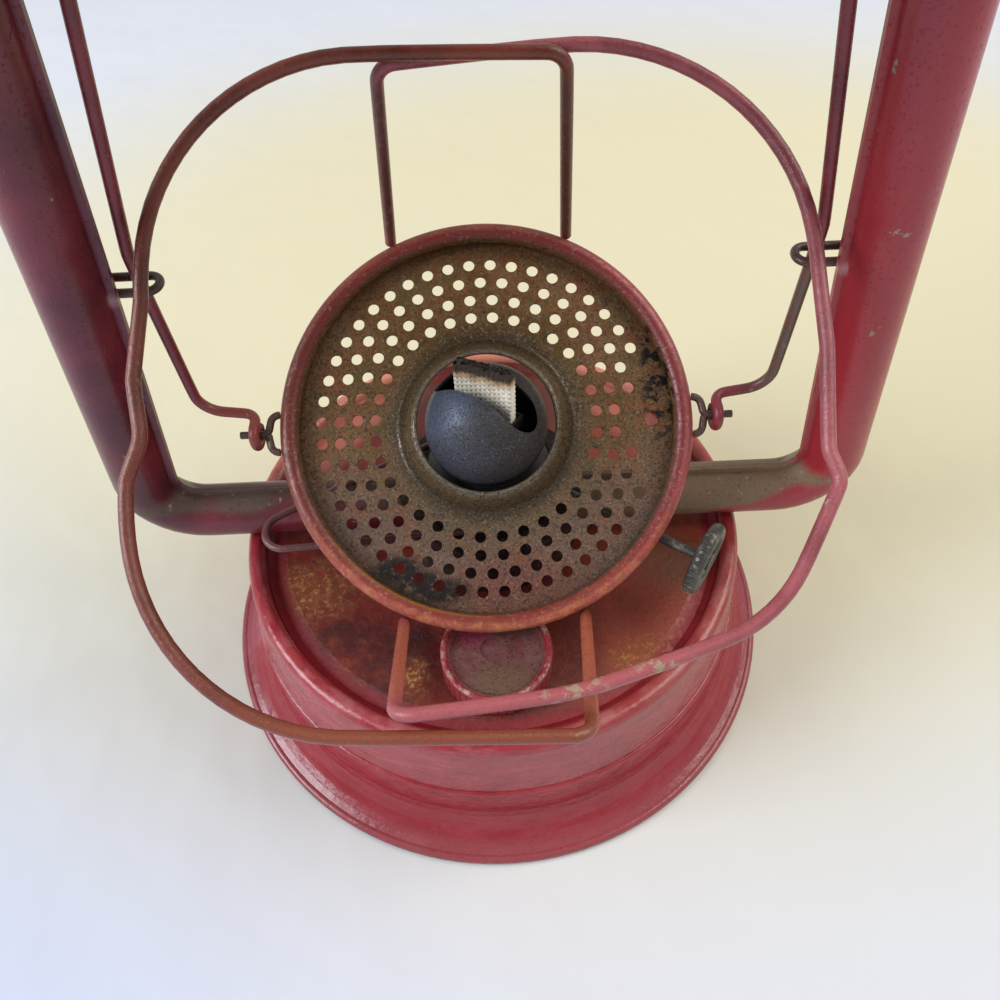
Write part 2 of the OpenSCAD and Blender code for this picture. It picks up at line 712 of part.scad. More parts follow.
// Side tubes: folded sheet with the seam standing up as a ridge along the inner edge
function tube_section(r) = let (a = asin(ridge_t / 2 / r), n = 22) [
  [r + ridge_h, -ridge_t / 2], [r + ridge_h, ridge_t / 2],
  for (k = [0:n]) r * [cos(a + (360 - 2 * a) * k / n), sin(a + (360 - 2 * a) * k / n)],
];

module one_tube() difference() {
  swept(bent(tube_route), tube_section(tube_d / 2), [0, 0, 1]);
  swept(bent(tube_bore), round_section(tube_d - 2 * sheet, 16), [0, 0, 1]);
}

module right_tube() color(red) one_tube();

module left_tube() color(red) mirror([1, 0, 0]) one_tube();

// Crown: the air collector that the tubes enter, pan and lid
module crown_pan() color(red) difference() {
  translate([0, 0, crown_bottom]) cylinder(r = crown_r, h = crown_h - sheet - fit);
  translate([0, 0, crown_bottom + sheet]) cylinder(r = crown_r - sheet, h = crown_h);
  translate([0, 0, crown_bottom - 1]) cylinder(r = chimney_r + run, h = 4);
  arm_bores(crown_r, crown_z, -1);
}

module crown_lid() color(red) difference() {
  union() {
    translate([0, 0, crown_top - sheet]) cylinder(r = crown_r + fit + sheet, h = sheet);
    translate([0, 0, crown_top - 3]) cylinder(r = crown_r + fit + sheet, h = 3);
  }
  translate([0, 0, crown_top - 4]) cylinder(r = crown_r + fit, h = 4 - sheet);
  translate([0, 0, crown_top - 4]) cylinder(r = chimney_r + run, h = 6);
}

module chimney() color(red) difference() {
  translate([0, 0, chimney_z]) cylinder(r = chimney_r, h = chimney_h);
  translate([0, 0, chimney_z - 1]) cylinder(r = chimney_r - sheet, h = chimney_h + 2);
  for (k = [0:vents - 1]) rotate([0, 0, 360 * k / vents]) translate([0, 0, vent_z]) rotate([0, 90, 0])
    cylinder(d = vent_d, h = 2 * chimney_r);
}

module spring_seat() color(tin) translate([0, 0, stop_z]) difference() {
  cylinder(r = stop_r, h = 1 - fit);
  translate([0, 0, -1]) cylinder(r = chimney_r + fit, h = 3);
}

module hold_down_spring() color(zinc) {
  pitch = (spring_h - spring_d - 2 * fit) / spring_turns;
  swept([
    for (a = [0:15:360 * spring_turns])
      [spring_r * cos(a), spring_r * sin(a), spring_z + fit + spring_d / 2 + pitch * a / 360],
  ], round_section(spring_d, 6), [1, 0, 0]);
}

module globe_cap() color(tin) translate([0, 0, chimney_z]) rotate_extrude() polygon([
  [chimney_r + fit, 0], [globe_cap_r - 3, 0], [globe_cap_r, -cap_drop + 3], [globe_cap_r, -cap_drop + 1],
  [globe_cap_r + sheet, -cap_drop + 1], [globe_cap_r + sheet, -cap_drop + 3.3], [globe_cap_r - 2.8, sheet],
  [chimney_r + fit + sheet, sheet], [chimney_r + fit + sheet, 4], [chimney_r + fit, 4],
]);

module hood() color(red) translate([0, 0, hood_top - hood_ball]) difference() {
  intersection() {
    sphere(r = hood_ball);
    translate([0, 0, hood_ball - hood_h - eave]) cylinder(r = hood_r, h = hood_h + 2 * eave);
  }
  translate([0, 0, -sheet]) sphere(r = hood_ball);
}

module hood_ring() color(red) wire([
  [-ring_r, 0, ring_z, 0], [-ring_r, 0, ring_z + 2 * ring_r, ring_r - 0.5],
  [ring_r, 0, ring_z + 2 * ring_r, ring_r - 0.5], [ring_r, 0, ring_z, 0],
], ring_d, [0, 1, 0]);

// Bail
module right_bail_lug() color(red) difference() {
  union() {
    translate([lug_x, 0, bail_z]) rotate([0, 90, 0]) cylinder(d = lug_w, h = lug_t);
    translate([lug_x, -lug_w / 2, bail_z - 16]) cube([lug_t, lug_w, 16]);
    translate([lug_x - 4, -lug_w / 2, bail_z - 16]) cube([4, lug_w, 4]);
  }
  translate([lug_x - 5, 0, bail_z]) rotate([0, 90, 0]) cylinder(d = bail_d + 2 * pin_gap, h = 12);
  tube_shaft(fit);
}

module left_bail_lug() mirror([1, 0, 0]) right_bail_lug();

bail_side = [
  [lug_x - bail_in, 0, bail_z, 0], [bail_x, 0, bail_z, bail_bend],
  [bail_x, 0, bail_z + bail_h, bail_x - 1],
];

module bail() color(zinc) wire(concat(bail_side, reversed(mirrored(bail_side))), bail_d, [0, 1, 0]);

fount_body();
fount_top();
fount_bottom();
filler_neck();
filler_cap();
cap_gasket();
burner_collar();
air_chamber();
burner_body();
burner_cone();
wick_tube();
wick();
wick_shaft();
spur_wheels();
wick_knob();
finger_loop();
globe_plate();
left_ear();
right_ear();
left_guard_wire();
right_guard_wire();
lift_yoke();
left_guide();
right_guide();
lift_lever();
lever_bracket();
lever_pin();
left_tube();
right_tube();
crown_pan();
crown_lid();
chimney();
spring_seat();
hold_down_spring();
globe_cap();
hood();
hood_ring();
left_bail_lug();
right_bail_lug();
bail();
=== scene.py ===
# %% [markdown]
# # A worn hurricane lantern
# The lantern's solids come in as a fixed frame: tank, burner, tilting globe plate, wire guard and
# tube frame. This lesson dresses them. Round wires, smooth tubes and a knitted wick are modelled on
# top, and every surface gets a finish made of nodes, with the fading, soot and chips that years of
# use leave. Blender's lengths are metres, in the frame's own axes: +Z up, -Y to the front. Sizes
# are written in millimetres and multiplied by MM.

import json
import math
import random

import bpy
from mathutils import Matrix, Vector

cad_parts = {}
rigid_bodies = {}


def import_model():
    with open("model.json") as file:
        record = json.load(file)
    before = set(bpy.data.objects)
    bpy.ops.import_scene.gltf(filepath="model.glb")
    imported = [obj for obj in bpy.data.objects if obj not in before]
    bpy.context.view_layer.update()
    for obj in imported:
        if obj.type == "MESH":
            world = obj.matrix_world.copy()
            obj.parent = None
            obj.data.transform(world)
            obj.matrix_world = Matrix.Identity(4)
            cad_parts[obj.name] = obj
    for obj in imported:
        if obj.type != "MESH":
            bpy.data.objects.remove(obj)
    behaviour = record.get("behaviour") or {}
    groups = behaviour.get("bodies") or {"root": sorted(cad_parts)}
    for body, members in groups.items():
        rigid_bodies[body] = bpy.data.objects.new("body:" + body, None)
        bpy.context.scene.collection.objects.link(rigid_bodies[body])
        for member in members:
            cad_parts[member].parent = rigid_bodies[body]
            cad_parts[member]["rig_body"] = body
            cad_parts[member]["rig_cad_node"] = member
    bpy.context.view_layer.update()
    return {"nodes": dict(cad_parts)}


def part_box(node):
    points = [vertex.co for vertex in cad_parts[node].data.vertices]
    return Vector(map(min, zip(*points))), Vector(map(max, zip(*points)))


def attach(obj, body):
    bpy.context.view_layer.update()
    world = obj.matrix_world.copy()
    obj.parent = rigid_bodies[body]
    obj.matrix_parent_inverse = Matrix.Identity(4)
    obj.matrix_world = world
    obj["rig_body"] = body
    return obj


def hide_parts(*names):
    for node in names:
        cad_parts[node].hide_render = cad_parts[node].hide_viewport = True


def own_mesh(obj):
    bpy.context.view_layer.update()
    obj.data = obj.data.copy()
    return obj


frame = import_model()
nodes = frame["nodes"]
scene = bpy.context.scene
MM = 0.001


# %% [markdown]
# ## The camera
# The picture looks down into the lantern from close in front, with a wide phone lens. A frame of
# 1000 pixels with a focal length of 800 pixels is a 28.8 mm lens on a 36 mm sensor. A Track To
# constraint could aim the camera, but it can't roll it, so the camera's axes are worked out from
# its yaw, its downward pitch and a slight roll.

# %% Place the camera
CAMERA_AT = Vector((2.1, -120.4, 209.6)) * MM
YAW, PITCH, ROLL = math.radians(0.1), math.radians(53.25), math.radians(-2.5)
SENSOR_MM, LENS_MM = 36.0, 28.8
NEAR_CLIP = 2 * MM

forward = Vector((
    math.sin(YAW) * math.cos(PITCH), math.cos(YAW) * math.cos(PITCH), -math.sin(PITCH),
))
level = Vector((math.cos(YAW), -math.sin(YAW), 0.0))
over = level.cross(forward)
right = math.cos(ROLL) * level + math.sin(ROLL) * over
up = math.cos(ROLL) * over - math.sin(ROLL) * level

camera_data = bpy.data.cameras.new("camera")
camera_data.sensor_width = SENSOR_MM
camera_data.lens = LENS_MM
camera_data.clip_start = NEAR_CLIP
camera = bpy.data.objects.new("camera", camera_data)
scene.collection.objects.link(camera)
axes = Matrix((right, up, -forward)).transposed().to_4x4()
camera.matrix_world = Matrix.Translation(CAMERA_AT) @ axes
scene.camera = camera
scene.view_settings.view_transform = "Standard"
print("camera looks along", [round(x, 3) for x in forward])


# %% [markdown]
# ## Soft daylight
# The lantern stands by a window: a broad cool area, low on the left, draws the sheen along that
# side of the tank. A warm room fills the rest from above and behind. A sun lamp would be simpler,
# but its shadow has a hard edge. Large area lamps give the soft edge that the shadow under the
# base has. The levels are plain, so a colour shows about as it is written.

# %% Lamps and world
def window(name, at, aim, size, power, tint):
    """A large square lamp at a point, turned to face another point."""
    lamp_data = bpy.data.lights.new(name, "AREA")
    lamp_data.size = size
    lamp_data.energy = power
    lamp_data.color = tint
    lamp = bpy.data.objects.new(name, lamp_data)
    scene.collection.objects.link(lamp)
    lamp.location = at
    lamp.rotation_euler = (Vector(aim) - Vector(at)).to_track_quat("-Z", "Y").to_euler()


AIM = (0.0, 0.0, 0.06)
ROOM_TINT, ROOM_LEVEL = (0.96, 0.97, 1.0, 1.0), 0.5
window(
    "window_light", at=(-1.25, -0.3, 0.88), aim=AIM, size=0.8, power=20.0, tint=(0.9, 0.94, 1.0))
window(
    "room_light", at=(0.95, 0.1, 1.15), aim=AIM, size=1.0, power=14.0, tint=(1.0, 0.95, 0.87))

world = bpy.data.worlds.new("pale_room")
scene.world = world
world.use_nodes = True
sky = world.node_tree.nodes["Background"]
sky.inputs["Color"].default_value = ROOM_TINT
sky.inputs["Strength"].default_value = ROOM_LEVEL


# %% [markdown]
# ## Tools for the finishes
# Almost every worn surface is a stack of thin coats: paint, faded paint, dirt, bare metal, each
# held in its place by masks. Painted textures could hold them, but they need files and unwrapped
# meshes. Noise at a real width needs neither, so a few helpers are enough. One turns a painter's
# hex colour into the linear value that a shader wants. One adds a node with its settings and links.
# The rest are recipes: blotches of a real width, a soft round spot, a stack of coats, and the links
# at the end.

# %% Node helpers
def hexa(code):
    """Linear colour of an sRGB hex value."""
    parts = [int(code[i:i + 2], 16) / 255 for i in (1, 3, 5)]
    linear = [c / 12.92 if c <= 0.04045 else ((c + 0.055) / 1.055) ** 2.4 for c in parts]
    return (*linear, 1.0)


def add(tree, kind, inputs, out=0, **settings):
    """Adds a node and gives one output; inputs maps a socket to a value or to what feeds it."""
    node = tree.nodes.new("ShaderNode" + kind)
    for name, value in settings.items():
        setattr(node, name, value)
    for name, value in inputs.items():
        if isinstance(value, bpy.types.NodeSocket):
            tree.links.new(value, node.inputs[name])
        else:
            node.inputs[name].default_value = value
    return node.outputs[out]


SOFT = {"interpolation_type": "SMOOTHSTEP"}
COLOUR = {"out": 2, "data_type": "RGBA"}
PRODUCT = {"operation": "MULTIPLY"}


def start_material(name):
    """A new material: its tree, its shader and the object's coordinates."""
    made = bpy.data.materials.new(name)
    made.use_nodes = True
    tree = made.node_tree
    place = add(tree, "TexCoord", {}, out="Object")
    return made, tree, tree.nodes["Principled BSDF"], place


def blotches(tree, place, width, low, high, detail=4.0, rough=0.55):
    """Mask of soft blotches about width millimetres wide, from 0 at low to 1 at high."""
    noise = add(tree, "TexNoise", {
        "Vector": place, "Scale": 1 / (width * MM), "Detail": detail, "Roughness": rough,
    })
    return add(tree, "MapRange", {0: noise, 1: low, 2: high}, **SOFT)


def spot(tree, place, at, size, edge=0.5):
    """Soft spot round a point, of half sizes in millimetres; it fades over the edge share."""
    moved = add(tree, "VectorMath", {0: place, 1: [c * MM for c in at]}, operation="SUBTRACT")
    scaled = add(tree, "VectorMath", {0: moved, 1: [1 / (s * MM) for s in size]}, **PRODUCT)
    away = add(tree, "VectorMath", {0: scaled}, out="Value", operation="LENGTH")
    return add(tree, "MapRange", {0: away, 1: 1.0, 2: 1.0 - edge}, **SOFT)


def coats(tree, colour, layers):
    """Colours laid one over another; each layer is a hex colour, its strength and its masks."""
    colour = hexa(colour) if isinstance(colour, str) else colour
    for tone, strength, *masks in layers:
        cover = strength
        for mask in masks:
            cover = add(tree, "Math", {0: mask, 1: cover}, **PRODUCT)
        tone = hexa(tone) if isinstance(tone, str) else tone
        colour = add(tree, "Mix", {0: cover, 6: colour, 7: tone}, **COLOUR)
    return colour


def finish_surface(tree, shader, colour, gloss, relief, shine=0.5):
    """Links the coats; gloss is a mask and two roughnesses, relief a height and its depth in mm."""
    mask, smooth, matt = gloss
    height, depth = relief
    rough = add(tree, "MapRange", {0: mask, 3: smooth, 4: matt})
    bump = add(tree, "Bump", {"Height": height, "Strength": 1.0, "Distance": depth * MM})
    tree.links.new(colour, shader.inputs["Base Color"])
    tree.links.new(rough, shader.inputs["Roughness"])
    tree.links.new(bump, shader.inputs["Normal"])
    shader.inputs["Specular IOR Level"].default_value = shine


print("node helpers ready")


# %% [markdown]
# ## Faded enamel
# Stoved red enamel over sheet steel. Sun and hands turn it chalky: the red pales in clouds that the
# wiping hand drew out sideways, it stays deep crimson in the hollow above the foot, and it chips to
# khaki primer on the edges that get knocked. It could be painted on an unwrapped tank. Masks by
# height and direction stay sharp up close, so all of it is found from the place on the tank.

# %% Enamel of the tank
SALMON = "#c07460"


def faded_back(tree, x, y):
    """Mask of the two rear quarters, where the sun has bleached the enamel to salmon."""
    behind = add(tree, "MapRange", {0: y, 1: 4 * MM, 2: 30 * MM}, **SOFT)
    aside = add(tree, "Math", {0: x}, operation="ABSOLUTE")
    wide = add(tree, "MapRange", {0: aside, 1: 8 * MM, 2: 36 * MM}, **SOFT)
    return add(tree, "Math", {0: behind, 1: wide}, **PRODUCT)


def chalky_enamel(name):
    """Crimson enamel with sideways chalky streaks on the upper wall and a dusky, chipped foot."""
    # Stoved enamel is a thin glassy skin with orange peel; chalk makes it pale and matt in streaks.
    made, tree, shader, place = start_material(name)
    x, y, z = add(tree, "SeparateXYZ", {0: place}).node.outputs
    wiped = add(tree, "Mapping", {0: place, 3: (0.25, 0.25, 1.6)})
    cloud = blotches(tree, place, 24, 0.38, 0.66)
    mottle = blotches(tree, place, 5, 0.42, 0.68, 6.0, 0.66)
    streak = blotches(tree, wiped, 2.6, 0.42, 0.7, 6.0, 0.66)
    speck = blotches(tree, place, 0.8, 0.58, 0.7, 2.0)
    upper = add(tree, "MapRange", {0: z, 1: 20 * MM, 2: 31 * MM}, **SOFT)
    hollow = add(tree, "MapRange", {0: z, 1: 17 * MM, 2: 11 * MM}, **SOFT)
    foot = add(tree, "MapRange", {0: z, 1: 5.5 * MM, 2: 2.5 * MM}, **SOFT)
    crest = add(tree, "MapRange", {0: z, 1: 41.6 * MM, 2: 42.9 * MM}, **SOFT)
    lip = add(tree, "MapRange", {0: z, 1: 2.6 * MM, 2: 1.2 * MM}, **SOFT)
    chips = blotches(tree, place, 4.5, 0.53, 0.57, 6.0, 0.65)
    strays = blotches(tree, place, 6, 0.73, 0.745, 5.0, 0.62)
    sunned = faded_back(tree, x, y)
    painted_window_sheen = spot(tree, place, (-66, -22, 22), (26, 40, 30), 0.8)
    rear = add(tree, "MapRange", {0: y, 1: 36 * MM, 2: 48 * MM}, **SOFT)
    brow = add(tree, "MapRange", {0: z, 1: 38.5 * MM, 2: 40 * MM}, **SOFT)
    shaded = add(tree, "MapRange", {0: x, 1: 5 * MM, 2: 35 * MM}, **SOFT)
    colour = coats(tree, "#98252e", [
        ("#a2363e", 0.8, cloud),
        ("#701620", 0.5, mottle),
        ("#b4565d", 0.55, streak, upper),
        (SALMON, 0.75, sunned, upper),
        ("#8b1c28", 0.7, hollow),
        ("#a03a44", 0.5, streak, hollow),
        ("#8e474c", 0.7, foot),
        ("#5a1a1e", 0.35, speck),
        # A pale lilac patch on the window side is a painted sheen.
        ("#c58a9c", 0.6, painted_window_sheen, cloud),
        ("#923a31", 0.6, brow, shaded),
        # Pale patches on the rim crest are painted highlights.
        ("#b08a84", 0.25, crest, streak),
        ("#cf8872", 0.9, rear, brow),
        ("#4f4838", 0.9, lip, chips),
        ("#8b8468", 0.9, strays),
    ])
    peel = blotches(tree, place, 3.2, 0.2, 0.8, 6.0, 0.62)
    finish_surface(tree, shader, colour, (streak, 0.15, 0.32), (peel, 0.1))
    shader.inputs["IOR"].default_value = 1.5
    return made


tank_enamel = chalky_enamel("chalky_red_enamel")
print("tank enamel:", tank_enamel.name)


# %% [markdown]
# ## Enamel above the flame
# The crown, the hood and the lugs carry the same enamel, browned by heat and clouded with soot. The
# tank's recipe could be used again, but its zones are heights on the tank. These pieces get a
# plainer recipe that is the same all over.

# %% Enamel of the crown and the hood
def hood_enamel_coat(name):
    """The same enamel on the parts above the flame: browner, with soot in clouds."""
    # Enamel over heat has lost most of its gloss, so soot sits dull on a brown red.
    made, tree, shader, place = start_material(name)
    cloud = blotches(tree, place, 18, 0.4, 0.64)
    soot = blotches(tree, place, 9, 0.5, 0.72, 5.0, 0.62)
    speck = blotches(tree, place, 1.0, 0.56, 0.68, 2.0)
    chips = blotches(tree, place, 5, 0.685, 0.7, 6.0, 0.62)
    colour = coats(tree, "#85252c", [
        ("#9b4147", 0.9, cloud),
        ("#4c2a24", 0.55, soot),
        ("#4a1518", 0.35, speck),
        ("#857c66", 0.9, chips),
    ])
    finish_surface(tree, shader, colour, (soot, 0.36, 0.6), (speck, 0.04))
    return made


hood_enamel = hood_enamel_coat("sooted_red_enamel")
print("hood enamel:", hood_enamel.name)


# %% [markdown]
# ## Stained tank top
# The top of the tank catches spilt oil. The enamel has turned to a brown-red varnish there: smooth
# and glossy, in dark puddles, and crinkled into gold-brown skin where the oil dried, with painted
# highlights for the bright gold glints on that skin. Only the slope under the rim, which drains, is
# still a clean deep red. Noise alone would spread the stains evenly, so soft spots keep them where
# the oil runs and dries. Two more soft spots are painted shade: a shadow left of the cap, and shade
# with soot behind the burner.

# %% Varnish of spilt oil
SKINS = [
    ((-45, -19, 41), (17, 12, 9)),
    ((35, -41, 41), (14, 9, 9)),
    ((-19, -43, 41), (5, 7, 9)),
]


def oil_varnish(name):
    """Brown-red varnish with puddles and gold skins, clean red on the slope under the rim."""
    # Dried lamp oil is an amber skin over the red: glossy where it pooled, wrinkled where it dried.
    made, tree, shader, place = start_material(name)
    x, y = add(tree, "SeparateXYZ", {0: place}).node.outputs[:2]
    puddle = blotches(tree, place, 20, 0.4, 0.62)
    fleck = blotches(tree, place, 4, 0.44, 0.7, 5.0, 0.6)
    flat = add(tree, "CombineXYZ", {0: x, 1: y})
    radius = add(tree, "VectorMath", {0: flat}, out="Value", operation="LENGTH")
    slope = add(tree, "MapRange", {0: radius, 1: 52.5 * MM, 2: 55.5 * MM}, **SOFT)
    skin = 0.0
    for at, size in SKINS:
        patch = spot(tree, place, at, size, 0.9)
        skin = add(tree, "Math", {0: skin, 1: patch}, operation="MAXIMUM")
    crinkle = blotches(tree, place, 2.2, 0.42, 0.66, 8.0, 0.72)
    glint = blotches(tree, place, 1.1, 0.54, 0.64, 6.0, 0.7)
    bright = add(tree, "MapRange", {0: x, 1: 0.0, 2: 32 * MM}, **SOFT)
    sunned = faded_back(tree, x, y)
    outer = add(tree, "MapRange", {0: radius, 1: 43 * MM, 2: 50 * MM}, **SOFT)
    cap_shadow_left = spot(tree, place, (-17, -37, 41), (9, 15, 9), 0.8)
    run_right = spot(tree, place, (19, -36, 41), (10, 15, 9), 0.8)
    dusty = spot(tree, place, (47, -15, 41), (16, 13, 9), 0.8)
    rear = spot(tree, place, (0, 44, 41), (42, 32, 20), 0.9)
    colour = coats(tree, "#6e251e", [
        ("#451414", 0.85, puddle),
        ("#a04832", 0.6, bright),
        ("#8c3d26", 0.5, fleck),
        # The dark patch left of the cap is a painted shadow of the cap.
        ("#2f1010", 0.65, cap_shadow_left),
        ("#4a1714", 0.6, run_right),
        ("#5a4028", 0.75, dusty),
        ("#84451f", 0.55, skin),
        ("#a8662e", 0.6, skin, crinkle),
        # The bright gold on the skins is a painted highlight: glints off the crinkled varnish.
        ("#dfa654", 0.75, skin, glint),
        ("#8a1c26", 0.9, slope),
        ("#6b141c", 0.6, slope, fleck),
        ("#2a0c0b", 0.3, glint),
        (SALMON, 0.7, sunned, outer),
        # The dark patch behind the burner is painted shade under the plate, with soot in it.
        ("#33241a", 0.85, rear),
        ("#1d1610", 0.6, rear, fleck),
    ])
    rise = add(tree, "MapRange", {0: skin, 3: 0.4, 4: 1.0})
    wrinkle = add(tree, "Math", {0: crinkle, 1: rise}, **PRODUCT)
    gloss = add(tree, "Math", {0: slope, 1: puddle}, operation="MAXIMUM")
    finish_surface(tree, shader, colour, (gloss, 0.3, 0.44), (wrinkle, 0.14), 0.4)
    return made


varnish = oil_varnish("oil_varnish_on_enamel")
print("tank top:", varnish.name)


# %% [markdown]
# ## Filler cap
# A pressed cap. Its dish holds a grey-olive film of dust and oil, pink where a thumb has rubbed,
# and the nicked rim is red with pale crinkles where the paint has cracked off the crest. The dish
# and the rim could be two materials, but the film fades over the edge, so one material tells them
# apart by the distance from the cap's axis.

# %% Enamel of the cap
CAP_AT = (0.0, -41.0, 0.0)
CAP_TOP = 48.6


def cap_enamel(name):
    """Red rim with pale nicks, and a dish under a film of dust and oil."""
    # Enamel on a pressing that hands turn: dull where dust lies, pale where the crest is bare.
    made, tree, shader, place = start_material(name)
    z = add(tree, "SeparateXYZ", {0: place}, out="Z")
    shift = [c * MM for c in CAP_AT]
    centred = add(tree, "VectorMath", {0: place, 1: shift}, operation="SUBTRACT")
    across, along = add(tree, "SeparateXYZ", {0: centred}).node.outputs[:2]
    flat = add(tree, "CombineXYZ", {0: across, 1: along})
    radius = add(tree, "VectorMath", {0: flat}, out="Value", operation="LENGTH")
    dish = add(tree, "MapRange", {0: radius, 1: 11.1 * MM, 2: 10.4 * MM}, **SOFT)
    crest = add(tree, "MapRange", {0: z, 1: (CAP_TOP - 0.5) * MM, 2: (CAP_TOP - 0.1) * MM}, **SOFT)
    thumb = spot(tree, place, (-5, -36.5, CAP_TOP), (7, 5, 8), 0.7)
    oily = spot(tree, place, (1, -48, CAP_TOP), (11, 7, 8), 0.7)
    cloud = blotches(tree, place, 6, 0.38, 0.66)
    nicks = blotches(tree, place, 3.4, 0.46, 0.6, 6.0, 0.7)
    speck = blotches(tree, place, 0.7, 0.56, 0.68, 2.0)
    film = coats(tree, "#6a3c3b", [
        ("#7a504c", 0.6, cloud),
        ("#8e2d44", 0.75, thumb),
        ("#655036", 0.65, oily),
        ("#2f1c1a", 0.5, speck),
    ])
    colour = coats(tree, "#8e2630", [
        ("#9c454c", 0.7, cloud),
        ("#cba799", 0.75, crest, nicks),
        (film, 1.0, dish),
        ("#4a1518", 0.35, speck),
    ])
    finish_surface(tree, shader, colour, (cloud, 0.32, 0.48), (nicks, 0.14))
    return made


cap_paint = cap_enamel("nicked_cap_enamel")
print("cap:", cap_paint.name)


# %% [markdown]
# ## Painted wire
# The guard, the rods and the small loops are steel wire dipped in the same red. Paint holds badly
# on wire: it browns with heat, fades to rose on the side that the light reaches, turns orange near
# the hot plate, and khaki primer or bare steel shows where the wires rub. Each wire could have its
# own recipe, but one with a list of the places that have changed serves them all.

# %% Enamel on wire
def wire_enamel(name, paint, heat, bare, bare_share, marks=(), knocks=()):
    """Thin enamel; a mark is a colour, a centre and half sizes in mm, for a place that has changed.

    A knock is a centre and half sizes in mm, for a place where the paint is chipped off in flakes.
    """
    # Dipped enamel on drawn steel wire: a thin round coat with a narrow gleam, pitted by rust.
    made, tree, shader, place = start_material(name)
    brown = blotches(tree, place, 14, 0.38, 0.64)
    pale = blotches(tree, place, 2.5, 0.45, 0.72, 5.0, 0.6)
    speck = blotches(tree, place, 0.5, 0.58, 0.7, 2.0)
    edge = 0.74 - 0.2 * bare_share
    rubbed = blotches(tree, place, 5, edge, edge + 0.03, 6.0, 0.6)
    layers = [(heat, 0.85, brown)]
    for tone, at, size in marks:
        layers.append((tone, 0.9, spot(tree, place, at, size, 0.4)))
    layers += [(paint, 0.35, pale), ("#3a2420", 0.3, speck), (bare, 0.9, rubbed)]
    flakes = blotches(tree, place, 2.4, 0.52, 0.57, 5.0, 0.6)
    for at, size in knocks:
        layers.append((bare, 0.8, spot(tree, place, at, size, 0.6), flakes))
    colour = coats(tree, paint, layers)
    pitted = blotches(tree, place, 1.3, 0.3, 0.7, 6.0, 0.7)
    finish_surface(tree, shader, colour, (pale, 0.2, 0.34), (pitted, 0.05))
    return made


FRONT_RUN = ((0, -68, 84), (52, 15, 16))
LEG_SIZE, REAR_LEG_SIZE = (9, 25, 22), (9, 18, 28)
HOT_LEG, SOOTY_LEG = "#b4634a", "#56352c"

left_wire = wire_enamel("heat_browned_wire", "#7c3b2c", "#58291d", "#8e8468", 0.3, [
    ("#86452f", *FRONT_RUN),
    (HOT_LEG, (19, -52, 68), LEG_SIZE),
    (SOOTY_LEG, (19, 30, 120), REAR_LEG_SIZE),
])
right_wire = wire_enamel("faded_rose_wire", "#a25459", "#7f3a40", "#9c9074", 0.38, [
    ("#a8575b", *FRONT_RUN),
    (HOT_LEG, (-19, -52, 68), LEG_SIZE),
    (SOOTY_LEG, (-19, 30, 120), REAR_LEG_SIZE),
], [((13, -68, 84), (8, 8, 8)), ((28, -65, 86), (6, 8, 8))])
rod_wire = wire_enamel("red_rod_wire", "#822f36", "#5f2428", "#6e665a", 0.3, [
    ("#5e5142", (61, 4, 98), (13, 9, 19)),
    ("#8c3f34", (-52, 3, 78), (13, 9, 14)),
])
rusty_wire = wire_enamel("rusty_small_wire", "#54382f", "#40302a", "#857a5e", 0.45)
loop_wire = wire_enamel("mauve_loop_wire", "#6e4040", "#58342f", "#7d7664", 0.25)
wire_finishes = (left_wire, right_wire, rod_wire, rusty_wire, loop_wire)
print("wire finishes:", [m.name for m in wire_finishes])


# %% [markdown]
# ## Sooty tubes
# The air tubes keep their crimson at the sides and below. Dust and soot settle on the upper side of
# the lower arms as an olive-grey film, thick near the burner and thin towards the bend, and the
# back of the seam is pale with dust. A mask by height would give the film a ruled edge, so noise
# moves that edge up and down. The two arms differ, so each gets its own film.

# %% Enamel under soot
PLATE_EDGE = 46.0


